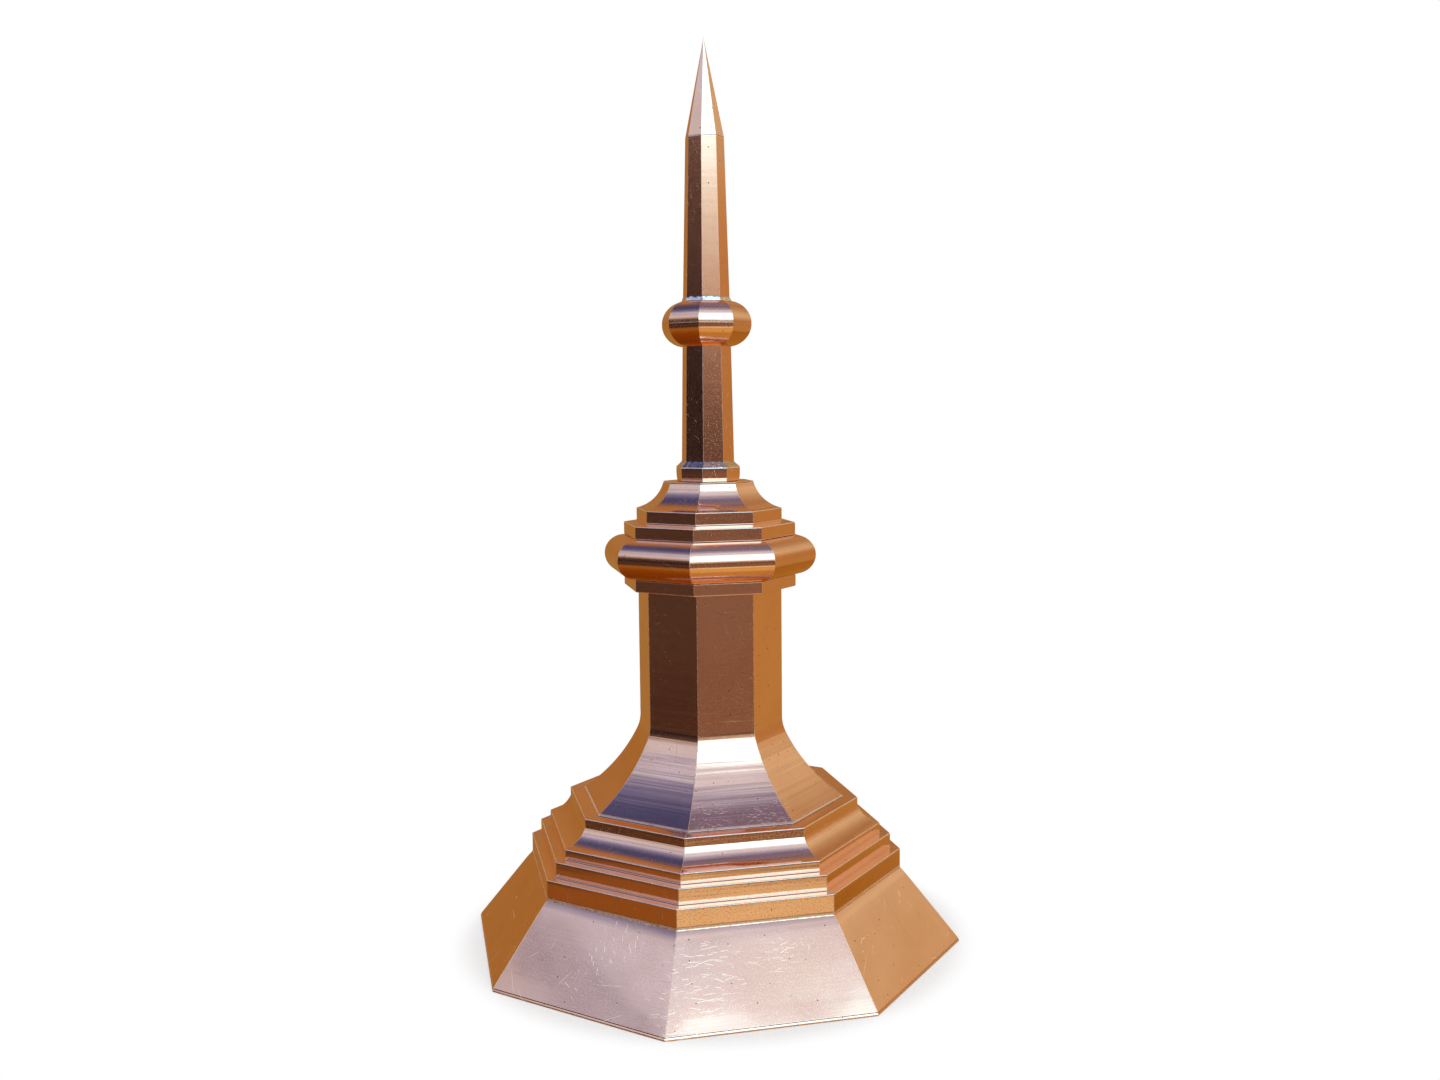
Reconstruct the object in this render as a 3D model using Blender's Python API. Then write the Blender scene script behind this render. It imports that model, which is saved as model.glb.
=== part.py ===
"""Octagonal sheet-copper cap with a spire, for the top of a gate pier, newel or turret.

Every visible moulding is folded from copper sheet. The large ones are eight mitred panels each,
soldered corner to corner; the spire, its knop and the small bands are single octagonal shells.
A steel socket tube inside slides over a pipe that stands on the pier, two plates centre it,
and a rod carries the load of the spire down to the upper plate.

Metres, +Z up. The origin is the centre of the plane that the drip edge stands on. The octagon
has flats facing -Y (front), +X (right), +Y (back) and -X (left), and the four diagonals.
A profile is a list of (apothem, height) points along the outer face of the sheet.
It runs from bottom to top, and the sheet's thickness lies on the axis side of it.
"""

import math

import bmesh
import bpy

# ---------------------------------------------------------------- driving dimensions
SIDES = 8
HALF_SIDE = math.radians(180 / SIDES)
HALF_HEX_SIDE = math.radians(30)
SHEET = 0.0011  # 32 oz copper
GAP = 0.0003  # solder gap between pieces

SKIRT_APOTHEM = 0.3048  # 24 in across the flats at the drip edge
SKIRT_TOP = 0.0986
LIP_HEIGHT = 0.0030
LIP_THICKNESS = 0.0024  # the lip is folded back on itself
UPSTAND = 0.0115  # turned-up leg of the skirt, behind the band

BAND_APOTHEM = 0.23275
BAND_BOTTOM = 0.0972
BAND_TOP = 0.1231
LOWER_STEP_APOTHEM = 0.22065
LOWER_STEP_TOP = 0.1432
UPPER_STEP_APOTHEM = 0.2080
UPPER_STEP_TOP = 0.1564
BASE_COVE_RADIUS = 0.0360
FILLET_APOTHEM = 0.1810
FILLET_BOTTOM = 0.1788
BASE_TOP = 0.1902
BASE_LEDGE_INNER = 0.1500

FLARE_FOOT_APOTHEM = 0.1634
FLARE_RADIUS = 0.2190
FLARE_FOOT_ANGLE = 54.0  # from vertical
FLARE_BLEND_ANGLE = 25.0
FLARE_BLEND_RADIUS = 0.0506
COLUMN_APOTHEM = 0.0891
COLUMN_TOP = 0.4830

NECK_APOTHEM = 0.1063
NECK_BOTTOM = 0.4710
NECK_TOP = 0.4867
TORUS_RADIUS = 0.0255
TORUS_CENTRE_APOTHEM = 0.1055
FLANGE_INNER = 0.0960  # how far in the hidden soldering flanges reach
CAP_LOWER_APOTHEM = 0.1059
CAP_LOWER_TOP = 0.5552
CAP_UPPER_APOTHEM = 0.0897
CAP_UPPER_TOP = 0.5740
CAP_COVE_REACH = 0.0340  # how far the cove goes in, and up
CAP_COVE_RADIUS = 0.0460
CAP_LEDGE_FALL = 0.0028  # the ledge sheds water outwards
CAP_FLANGE_INNER = 0.0460

COLLAR_APOTHEM = 0.0392
COLLAR_HEIGHT = 0.0175
COLLAR_SLOPE_RISE = 0.0056
SPIRE_FOOT_APOTHEM = 0.0326
SPIRE_MID_APOTHEM = 0.0292
SPIRE_TOP_APOTHEM = 0.0234
SPIRE_TOP = 1.0494
POINT_TOP = 1.1745
KNOP_CENTRE = 0.8130
KNOP_RADIUS = 0.0295
KNOP_CENTRE_APOTHEM = 0.0253

PLATE = 0.0020  # centring plates
BULKHEAD_BOTTOM = 0.1010
BULKHEAD_APOTHEM = 0.2299
NECK_PLATE_BOTTOM = 0.4760
NECK_PLATE_APOTHEM = 0.0876
SOCKET_HALF_WIDTH = 0.0200  # 40 mm square tube
SOCKET_HALF_BORE = 0.0170  # slides over a 33.7 mm pipe
FLANGE_HALF_WIDTH = 0.0700
FLANGE_THICKNESS = 0.0060
BOLT_OFFSET = 0.0480  # of each bolt from the middle, both ways
BOLT_RADIUS = 0.0040
BOLT_HEAD_RADIUS = 0.0080
BOLT_HEAD_HEIGHT = 0.0040
BOLT_TOP = 0.1140
BOLT_NUT_FLATS = 0.0130
BOLT_NUT_HEIGHT = 0.0065
ROD_RADIUS = 0.0080
ROD_TOP = 0.7750
ROD_NUT_FLATS = 0.0240
ROD_NUT_HEIGHT = 0.0130
PLUG_BOTTOM = 0.7600
PLUG_THICKNESS = 0.0100

# ---------------------------------------------------------------- fineness of round stretches
COVE_STEPS = 10
FLARE_STEPS = 10
BLEND_STEPS = 5
TORUS_STEPS = 16
KNOP_STEPS = 8
ROUND_SEGMENTS = 32
BOLT_SEGMENTS = 24
CREASE_ANGLE = 18.0  # edges that turn more than this are shaded sharp
CUTTER_OVERRUN = 0.0005  # how far a countersink cutter reaches past the face

PANEL_NAMES = (
    "front",
    "front_right",
    "right",
    "back_right",
    "back",
    "back_left",
    "left",
    "front_left",
)

# name: base colour, roughness, metallic
MATERIALS = {
    "copper_sheet": ((0.85, 0.45, 0.28, 1.0), 0.16, 1.0),
    "galvanised_steel": ((0.56, 0.57, 0.59, 1.0), 0.42, 1.0),
}


# ---------------------------------------------------------------- profiles
def arc(centre, radius, start, end, steps):
    """Points on an arc, from start to end in degrees, counted from the outward direction."""
    angles = [math.radians(start + (end - start) * i / steps) for i in range(steps + 1)]
    return [(centre[0] + radius * math.cos(t), centre[1] + radius * math.sin(t)) for t in angles]


def hollow_arc(low, high, radius, steps):
    """A cove between two points: the arc of this radius that sags towards the axis."""
    across = (high[0] - low[0], high[1] - low[1])
    chord = math.hypot(*across)
    rise = math.sqrt(radius**2 - chord**2 / 4)
    middle = ((low[0] + high[0]) / 2, (low[1] + high[1]) / 2)
    outward = (across[1] / chord, -across[0] / chord)
    centre = (middle[0] + rise * outward[0], middle[1] + rise * outward[1])
    start = math.degrees(math.atan2(low[1] - centre[1], low[0] - centre[0])) % 360
    end = math.degrees(math.atan2(high[1] - centre[1], high[0] - centre[0])) % 360
    return arc(centre, radius, start, end, steps)


def cross(a, b):
    return a[0] * b[1] - a[1] * b[0]


def meet(point, along, other, other_along):
    """Where two lines cross; the first line's own point if they are parallel."""
    turn = cross(along, other_along)
    if abs(turn) < 1e-9:
        return point
    t = cross((other[0] - point[0], other[1] - point[1]), other_along) / turn
    return (point[0] + t * along[0], point[1] + t * along[1])


def inner_face(profile, thickness, first_thickness=None, foot_cut=None):
    """The profile offset towards the axis. foot_cut is the direction that the bottom edge is cut in."""
    lines = []
    for i in range(len(profile) - 1):
        (a0, z0), (a1, z1) = profile[i], profile[i + 1]
        length = math.hypot(a1 - a0, z1 - z0)
        along = ((a1 - a0) / length, (z1 - z0) / length)
        depth = first_thickness if first_thickness and i == 0 else thickness
        start = (a0 - along[1] * depth, z0 + along[0] * depth)
        end = (a1 - along[1] * depth, z1 + along[0] * depth)
        lines.append((start, along, end))
    points = [lines[0][0]]
    if foot_cut:
        points = [meet(lines[0][0], lines[0][1], profile[0], foot_cut)]
    for below, above in zip(lines, lines[1:]):
        points.append(meet(below[2], below[1], above[0], above[1]))
    points.append(lines[-1][2])
    return points


def spire_apothem(height):
    """The taper of the spire: two straight runs that meet at the middle of the knop."""
    foot = CAP_TOP + GAP
    if height < KNOP_CENTRE:
        share = (height - foot) / (KNOP_CENTRE - foot)
        return SPIRE_FOOT_APOTHEM + share * (SPIRE_MID_APOTHEM - SPIRE_FOOT_APOTHEM)
    share = (height - KNOP_CENTRE) / (SPIRE_TOP - KNOP_CENTRE)
    return SPIRE_MID_APOTHEM + share * (SPIRE_TOP_APOTHEM - SPIRE_MID_APOTHEM)


TORUS_BOTTOM = NECK_TOP + 2 * GAP
TORUS_TOP = TORUS_BOTTOM + 2 * TORUS_RADIUS
CAP_BOTTOM = TORUS_TOP + GAP
CAP_FLANGE_TOP = CAP_UPPER_TOP + CAP_COVE_REACH
CAP_PLATE_BOTTOM = CAP_FLANGE_TOP + GAP
CAP_TOP = CAP_PLATE_BOTTOM + SHEET
COLUMN_BOTTOM = BASE_TOP + GAP


def skirt_profile():
    upstand_apothem = BAND_APOTHEM - SHEET - GAP
    return [
        (SKIRT_APOTHEM, 0),
        (SKIRT_APOTHEM, LIP_HEIGHT),
        (upstand_apothem, SKIRT_TOP),
        (upstand_apothem, SKIRT_TOP + UPSTAND),
    ]


def base_profile():
    cove_foot = (UPPER_STEP_APOTHEM, UPPER_STEP_TOP)
    cove_head = (FILLET_APOTHEM, FILLET_BOTTOM)
    return [
        (BAND_APOTHEM, BAND_BOTTOM),
        (BAND_APOTHEM, BAND_TOP),
        (LOWER_STEP_APOTHEM, BAND_TOP),
        (LOWER_STEP_APOTHEM, LOWER_STEP_TOP),
        (UPPER_STEP_APOTHEM, LOWER_STEP_TOP),
        *hollow_arc(cove_foot, cove_head, BASE_COVE_RADIUS, COVE_STEPS),
        (FILLET_APOTHEM, BASE_TOP),
        (BASE_LEDGE_INNER, BASE_TOP),
    ]


def column_profile():
    """Two arcs that share a tangent: a wide flare, then a tight blend into the upright face."""
    tilt = math.radians(FLARE_FOOT_ANGLE)
    centre = (
        FLARE_FOOT_APOTHEM + FLARE_RADIUS * math.cos(tilt),
        COLUMN_BOTTOM + FLARE_RADIUS * math.sin(tilt),
    )
    flare_start, flare_end = 180 + FLARE_FOOT_ANGLE, 180 + FLARE_BLEND_ANGLE
    flare = arc(centre, FLARE_RADIUS, flare_start, flare_end, FLARE_STEPS)
    blend_tilt = math.radians(FLARE_BLEND_ANGLE)
    joint = flare[-1]
    blend_centre = (
        joint[0] + FLARE_BLEND_RADIUS * math.cos(blend_tilt),
        joint[1] + FLARE_BLEND_RADIUS * math.sin(blend_tilt),
    )
    blend = arc(blend_centre, FLARE_BLEND_RADIUS, flare_end, 180, BLEND_STEPS)
    return [*flare, *blend[1:], (blend[-1][0], COLUMN_TOP)]


def neck_profile():
    return [
        (COLUMN_APOTHEM + 2 * GAP, NECK_BOTTOM),
        (NECK_APOTHEM, NECK_BOTTOM),
        (NECK_APOTHEM, NECK_TOP),
        (FLANGE_INNER, NECK_TOP),
    ]


def torus_profile():
    centre = (TORUS_CENTRE_APOTHEM, TORUS_BOTTOM + TORUS_RADIUS)
    return [
        (FLANGE_INNER, TORUS_BOTTOM),
        *arc(centre, TORUS_RADIUS, -90, 90, TORUS_STEPS),
        (FLANGE_INNER, TORUS_TOP),
    ]


def cap_profile():
    cove_foot = (CAP_UPPER_APOTHEM, CAP_UPPER_TOP)
    cove_head = (CAP_UPPER_APOTHEM - CAP_COVE_REACH, CAP_FLANGE_TOP)
    return [
        (FLANGE_INNER, CAP_BOTTOM),
        (CAP_LOWER_APOTHEM, CAP_BOTTOM),
        (CAP_LOWER_APOTHEM, CAP_LOWER_TOP),
        (CAP_UPPER_APOTHEM, CAP_LOWER_TOP + CAP_LEDGE_FALL),
        *hollow_arc(cove_foot, cove_head, CAP_COVE_RADIUS, COVE_STEPS),
        (CAP_FLANGE_INNER, CAP_FLANGE_TOP),
    ]


def collar_profile():
    foot = CAP_TOP + GAP
    top = foot + COLLAR_HEIGHT
    slope_top = top + COLLAR_SLOPE_RISE
    return [
        (COLLAR_APOTHEM, foot),
        (COLLAR_APOTHEM, top),
        (spire_apothem(slope_top) + SHEET + GAP, slope_top),
    ]


def knop_profile(lower):
    """Half of a half-round bead, from the spire to the equator or back."""
    clear_radius = KNOP_RADIUS - SHEET
    foot_height = KNOP_CENTRE + (-KNOP_RADIUS if lower else KNOP_RADIUS)
    reach = spire_apothem(foot_height) + 2 * GAP - KNOP_CENTRE_APOTHEM
    angle = math.degrees(math.acos(reach / clear_radius))
    centre = (KNOP_CENTRE_APOTHEM, KNOP_CENTRE + (-GAP / 2 if lower else GAP / 2))
    if lower:
        return arc(centre, KNOP_RADIUS, -angle, 0, KNOP_STEPS)
    return arc(centre, KNOP_RADIUS, 0, angle, KNOP_STEPS)


# ---------------------------------------------------------------- solids
def material(name):
    found = bpy.data.materials.get(name)
    if found:
        return found
    colour, roughness, metallic = MATERIALS[name]
    made = bpy.data.materials.new(name)
    made.use_nodes = True
    shader = made.node_tree.nodes["Principled BSDF"]
    shader.inputs["Base Color"].default_value = colour
    shader.inputs["Roughness"].default_value = roughness
    shader.inputs["Metallic"].default_value = metallic
    made.diffuse_color = colour
    return made


def add_object(name, mesh_builder, material_name, turn=0.0):
    """An object whose material is its own copy, so that each sub-part can be recoloured."""
    mesh_builder.normal_update()
    bmesh.ops.recalc_face_normals(mesh_builder, faces=mesh_builder.faces)
    mesh = bpy.data.meshes.new(name)
    mesh_builder.to_mesh(mesh)
    mesh_builder.free()
    mesh.shade_smooth()
    mesh.set_sharp_from_angle(angle=math.radians(CREASE_ANGLE))
    own = material(material_name).copy()
    own.name = f"{name}_{material_name}"
    mesh.materials.append(own)
    obj = bpy.data.objects.new(name, mesh)
    bpy.context.scene.collection.objects.link(obj)
    obj.rotation_euler.z = turn
    return obj


def panel(name, profile, inner, turn):
    """One side of an octagonal moulding, with both ends cut on the mitre and a solder gap left."""
    builder = bmesh.new()

    def row(points, side):
        rows = []
        for apothem, height in points:
            half = apothem * math.tan(HALF_SIDE) - GAP / 2 / math.cos(HALF_SIDE)
            rows.append(builder.verts.new((side * half, -apothem, height)))
        return rows

    left_out, right_out = row(profile, -1), row(profile, 1)
    left_in, right_in = row(inner, -1), row(inner, 1)
    last = len(profile) - 1
    for i in range(last):
        builder.faces.new((left_out[i], right_out[i], right_out[i + 1], left_out[i + 1]))
        builder.faces.new((right_in[i], left_in[i], left_in[i + 1], right_in[i + 1]))
        builder.faces.new((right_out[i], right_in[i], right_in[i + 1], right_out[i + 1]))
        builder.faces.new((left_in[i], left_out[i], left_out[i + 1], left_in[i + 1]))
    builder.faces.new((left_in[0], right_in[0], right_out[0], left_out[0]))
    builder.faces.new((left_out[last], right_out[last], right_in[last], left_in[last]))
    return add_object(name, builder, "copper_sheet", turn)


def panels(stem, profile, **cut):
    """The eight panels of one moulding, named after the way they face."""
    inner = inner_face(profile, SHEET, **cut)
    for i, side in enumerate(PANEL_NAMES):
        panel(f"{stem}_{side}", profile, inner, i * 2 * HALF_SIDE)


def corners(builder, apothem, height):
    radius = apothem / math.cos(HALF_SIDE)
    angles = [HALF_SIDE * (2 * k + 1) for k in range(SIDES)]
    return [builder.verts.new((radius * math.cos(t), radius * math.sin(t), height)) for t in angles]


def skin(builder, lower, upper):
    count = len(lower)
    for k in range(count):
        after = (k + 1) % count
        builder.faces.new((lower[k], lower[after], upper[after], upper[k]))


def octagon_shell(name, profile, material_name="copper_sheet"):
    """An octagonal tube of sheet that follows the profile, open at both ends."""
    inner = inner_face(profile, SHEET)
    builder = bmesh.new()
    outer_rings = [corners(builder, a, z) for a, z in profile]
    inner_rings = [corners(builder, a, z) for a, z in inner]
    loop = outer_rings + inner_rings[::-1]
    for lower, upper in zip(loop, loop[1:] + loop[:1]):
        skin(builder, lower, upper)
    return add_object(name, builder, material_name)


def octagon_point(name, apothem, bottom, top):
    """A hollow pyramid, open underneath."""
    builder = bmesh.new()
    rings = [corners(builder, apothem, bottom), corners(builder, apothem - SHEET, bottom)]
    half_angle = math.atan2(apothem, top - bottom)
    tips = [
        builder.verts.new((0, 0, top)),
        builder.verts.new((0, 0, top - SHEET / math.sin(half_angle))),
    ]
    for ring, tip in zip(rings, tips):
        for k in range(SIDES):
            builder.faces.new((ring[k], ring[(k + 1) % SIDES], tip))
    skin(builder, rings[0], rings[1])
    return add_object(name, builder, "copper_sheet")


def cylinder(builder, radius, bottom, top, centre=(0.0, 0.0), top_radius=None, segments=ROUND_SEGMENTS):
    made = bmesh.ops.create_cone(
        builder,
        cap_ends=True,
        segments=segments,
        radius1=radius,
        radius2=radius if top_radius is None else top_radius,
        depth=top - bottom,
    )
    middle = (centre[0], centre[1], (bottom + top) / 2)
    bmesh.ops.translate(builder, verts=made["verts"], vec=middle)


def cutter(name, builder):
    """A helper solid that a Boolean takes away."""
    mesh = bpy.data.meshes.new(name)
    builder.to_mesh(mesh)
    builder.free()
    obj = bpy.data.objects.new(name, mesh)
    bpy.context.scene.collection.objects.link(obj)
    obj.hide_render = True
    obj.display_type = "WIRE"
    return obj


def take_away(target, helper):
    cut = target.modifiers.new("cut", "BOOLEAN")
    cut.operation = "DIFFERENCE"
    cut.solver = "EXACT"
    cut.object = helper


def square_prism(builder, half_width, bottom, top):
    made = bmesh.ops.create_cube(builder, size=1)
    size = (2 * half_width, 2 * half_width, top - bottom)
    bmesh.ops.scale(builder, verts=made["verts"], vec=size)
    bmesh.ops.translate(builder, verts=made["verts"], vec=(0, 0, (bottom + top) / 2))


def octagon_plate(name, apothem, bottom, top, hole_half, material_name, square_hole=False):
    """A flat octagonal plate with a round or a square hole in the middle."""
    builder = bmesh.new()
    rings = [corners(builder, apothem, bottom), corners(builder, apothem, top)]
    skin(builder, rings[0], rings[1])
    builder.faces.new(rings[0][::-1])
    builder.faces.new(rings[1])
    plate = add_object(name, builder, material_name)
    hole = bmesh.new()
    if square_hole:
        square_prism(hole, hole_half, bottom - PLATE, top + PLATE)
    else:
        cylinder(hole, hole_half, bottom - PLATE, top + PLATE)
    take_away(plate, cutter(f"{name}_hole", hole))
    return plate


def bolt_centres():
    return [(x, y) for x in (-BOLT_OFFSET, BOLT_OFFSET) for y in (-BOLT_OFFSET, BOLT_OFFSET)]


def drill_for_bolts(target, bottom, top, name):
    """Clearance holes for the four flange bolts."""
    for k, centre in enumerate(bolt_centres()):
        hole = bmesh.new()
        cylinder(hole, BOLT_RADIUS + 2 * GAP, bottom - PLATE, top + PLATE, centre)
        take_away(target, cutter(f"{name}_bolt_hole_{k + 1}", hole))


def square_tube(name, half_width, half_bore, bottom, top, material_name):
    """A square ring or tube with its flats facing the axes."""
    builder = bmesh.new()
    rings = []
    for half, height in (
        (half_width, bottom),
        (half_width, top),
        (half_bore, top),
        (half_bore, bottom),
    ):
        ring = [(half, -half), (half, half), (-half, half), (-half, -half)]
        rings.append([builder.verts.new((x, y, height)) for x, y in ring])
    for lower, upper in zip(rings, rings[1:] + rings[:1]):
        skin(builder, lower, upper)
    return add_object(name, builder, material_name)


def hex_radius(flats):
    return flats / 2 / math.cos(HALF_HEX_SIDE)


# ---------------------------------------------------------------- sub-parts
def make_skirt():
    panels("skirt_panel", skirt_profile(), first_thickness=LIP_THICKNESS)


def make_base_moulding():
    """The band's bottom edge is cut to lie flat on the slope of the skirt."""
    skirt = skirt_profile()
    slope = (skirt[2][0] - skirt[1][0], skirt[2][1] - skirt[1][1])
    panels("base_moulding", base_profile(), foot_cut=slope)


def make_column():
    panels("column_panel", column_profile(), foot_cut=(1, 0))


def make_capital():
    octagon_shell("neck_band", neck_profile())
    panels("torus_bead", torus_profile())
    panels("cap_moulding", cap_profile())
    cap_apothem = CAP_UPPER_APOTHEM - CAP_COVE_REACH
    rod_hole = ROD_RADIUS + GAP
    octagon_plate("cap_plate", cap_apothem, CAP_PLATE_BOTTOM, CAP_TOP, rod_hole, "copper_sheet")


def make_spire():
    foot = CAP_TOP + GAP
    middle_low = KNOP_CENTRE - GAP / 2
    middle_high = KNOP_CENTRE + GAP / 2
    octagon_shell("spire_collar", collar_profile())
    octagon_shell(
        "lower_spire", [(spire_apothem(foot), foot), (spire_apothem(middle_low), middle_low)]
    )
    octagon_shell("knop_lower_half", knop_profile(lower=True))
    octagon_shell("knop_upper_half", knop_profile(lower=False))
    octagon_shell(
        "upper_spire", [(spire_apothem(middle_high), middle_high), (SPIRE_TOP_APOTHEM, SPIRE_TOP)]
    )
    octagon_point("spire_point", SPIRE_TOP_APOTHEM, SPIRE_TOP + GAP, POINT_TOP)


def make_socket():
    """Square socket tube, its flange and the bulkhead plate that the flange is bolted to."""
    flange_bottom = BULKHEAD_BOTTOM - GAP - FLANGE_THICKNESS
    flange_top = BULKHEAD_BOTTOM - GAP
    bulkhead_top = BULKHEAD_BOTTOM + PLATE
    tube_top = NECK_PLATE_BOTTOM - GAP
    square_tube(
        "socket_tube",
        SOCKET_HALF_WIDTH,
        SOCKET_HALF_BORE,
        flange_bottom,
        tube_top,
        "galvanised_steel",
    )
    flange = square_tube(
        "socket_flange",
        FLANGE_HALF_WIDTH,
        SOCKET_HALF_WIDTH + GAP,
        flange_bottom,
        flange_top,
        "galvanised_steel",
    )
    drill_for_bolts(flange, flange_bottom, flange_top, "socket_flange")
    for k, centre in enumerate(bolt_centres()):
        sink = bmesh.new()
        depth = BOLT_HEAD_HEIGHT + 2 * GAP
        mouth = BOLT_HEAD_RADIUS + 2 * GAP
        slope = (mouth - BOLT_RADIUS) / depth
        cylinder(
            sink,
            mouth + slope * CUTTER_OVERRUN,
            flange_bottom - CUTTER_OVERRUN,
            flange_bottom + depth,
            centre,
            top_radius=BOLT_RADIUS,
        )
        take_away(flange, cutter(f"socket_flange_countersink_{k + 1}", sink))
    bulkhead = octagon_plate(
        "base_bulkhead",
        BULKHEAD_APOTHEM,
        BULKHEAD_BOTTOM,
        bulkhead_top,
        SOCKET_HALF_WIDTH + GAP,
        "galvanised_steel",
        square_hole=True,
    )
    drill_for_bolts(bulkhead, BULKHEAD_BOTTOM, bulkhead_top, "base_bulkhead")
    for k, centre in enumerate(bolt_centres()):
        make_flange_bolt(f"flange_bolt_{k + 1}", centre, flange_bottom, bulkhead_top + GAP)


def make_flange_bolt(name, centre, head_bottom, nut_bottom):
    """A countersunk bolt with its nut run down, as one stepped solid."""
    nut_top = nut_bottom + BOLT_NUT_HEIGHT
    hexagon = hex_radius(BOLT_NUT_FLATS)
    steps = (
        (BOLT_HEAD_RADIUS, head_bottom),
        (BOLT_RADIUS, head_bottom + BOLT_HEAD_HEIGHT),
        (BOLT_RADIUS, nut_bottom),
        (hexagon, nut_bottom),
        (hexagon, nut_top),
        (BOLT_RADIUS, nut_top),
        (BOLT_RADIUS, BOLT_TOP),
    )
    builder = bmesh.new()
    rings = []
    for radius, height in steps:
        ring = []
        for k in range(BOLT_SEGMENTS):
            t = 2 * math.pi * k / BOLT_SEGMENTS
            reach = radius
            if radius == hexagon:
                from_flat = (t + HALF_HEX_SIDE) % (2 * HALF_HEX_SIDE) - HALF_HEX_SIDE
                reach = BOLT_NUT_FLATS / 2 / math.cos(from_flat)
            ring.append(
                builder.verts.new(
                    (centre[0] + reach * math.cos(t), centre[1] + reach * math.sin(t), height)
                )
            )
        rings.append(ring)
    for lower, upper in zip(rings, rings[1:]):
        skin(builder, lower, upper)
    builder.faces.new(rings[0][::-1])
    builder.faces.new(rings[-1])
    return add_object(name, builder, "galvanised_steel")


def make_spire_support():
    """The upper plate, and the rod that stands on it inside the spire."""
    rod_hole = ROD_RADIUS + GAP
    plate_top = NECK_PLATE_BOTTOM + PLATE
    octagon_plate(
        "neck_bulkhead",
        NECK_PLATE_APOTHEM,
        NECK_PLATE_BOTTOM,
        plate_top,
        rod_hole,
        "galvanised_steel",
    )
    rod = bmesh.new()
    cylinder(rod, ROD_RADIUS, NECK_PLATE_BOTTOM, ROD_TOP)
    add_object("spire_rod", rod, "galvanised_steel")
    nut = bmesh.new()
    nut_bottom = plate_top + GAP
    nut_top = nut_bottom + ROD_NUT_HEIGHT
    cylinder(nut, hex_radius(ROD_NUT_FLATS), nut_bottom, nut_top, segments=6)
    nut_object = add_object("rod_nut", nut, "galvanised_steel")
    thread = bmesh.new()
    cylinder(thread, rod_hole, nut_bottom - PLATE, nut_top + PLATE)
    take_away(nut_object, cutter("rod_nut_thread", thread))
    plug_top = PLUG_BOTTOM + PLUG_THICKNESS
    plug_apothem = spire_apothem(plug_top) - SHEET - GAP
    octagon_plate("spire_plug", plug_apothem, PLUG_BOTTOM, plug_top, rod_hole, "galvanised_steel")


def clear_scene():
    for obj in list(bpy.data.objects):
        bpy.data.objects.remove(obj)


clear_scene()
make_skirt()
make_base_moulding()
make_column()
make_capital()
make_spire()
make_socket()
make_spire_support()
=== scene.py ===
"""The looks of an octagonal sheet-copper pier cap with a spire.

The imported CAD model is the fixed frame. Each copper part of it is stood for by a finer closed shell:
its cross-section is read from the CAD node, its folds get their real bend radius, its round stretches
are drawn as smooth curves, its mitred edges are rolled over, and its flats are slightly dished, as
hand-folded sheet is. Solder is added where the parts are joined. The steel parts inside are carried
over from the frame with a galvanised finish.

Metres, +Z up, the octagon's flats facing the axes. A section is a closed list of points
(apothem, height), counter-clockwise, that starts at the outer foot of the sheet.
"""

import math

import bmesh
import bpy
from mathutils import Matrix, Vector, noise


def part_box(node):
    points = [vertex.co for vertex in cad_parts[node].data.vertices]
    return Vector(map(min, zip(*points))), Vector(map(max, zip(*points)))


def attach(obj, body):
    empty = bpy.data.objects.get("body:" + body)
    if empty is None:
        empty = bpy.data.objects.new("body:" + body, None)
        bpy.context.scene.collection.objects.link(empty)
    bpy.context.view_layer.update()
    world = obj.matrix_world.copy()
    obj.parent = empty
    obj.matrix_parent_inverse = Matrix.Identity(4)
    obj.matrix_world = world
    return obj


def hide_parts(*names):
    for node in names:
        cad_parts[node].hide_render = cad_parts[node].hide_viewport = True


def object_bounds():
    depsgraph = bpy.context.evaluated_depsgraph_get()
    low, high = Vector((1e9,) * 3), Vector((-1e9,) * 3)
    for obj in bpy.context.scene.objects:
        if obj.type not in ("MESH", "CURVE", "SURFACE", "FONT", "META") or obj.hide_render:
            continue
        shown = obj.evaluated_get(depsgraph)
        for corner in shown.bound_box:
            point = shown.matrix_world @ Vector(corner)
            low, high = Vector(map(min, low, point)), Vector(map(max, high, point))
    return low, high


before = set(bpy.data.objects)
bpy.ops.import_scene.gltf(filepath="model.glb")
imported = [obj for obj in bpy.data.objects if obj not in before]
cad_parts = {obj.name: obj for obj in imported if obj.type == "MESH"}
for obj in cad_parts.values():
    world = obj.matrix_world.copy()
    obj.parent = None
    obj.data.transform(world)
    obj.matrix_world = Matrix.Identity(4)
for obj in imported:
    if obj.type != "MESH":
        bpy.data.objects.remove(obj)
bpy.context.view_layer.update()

# ------------ the octagon
SIDES = 8
HALF_SIDE = math.radians(180 / SIDES)
SIDE_TAN = math.tan(HALF_SIDE)
SIDE_NAMES = ("front", "front_right", "right", "back_right", "back", "back_left", "left", "front_left")

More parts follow.
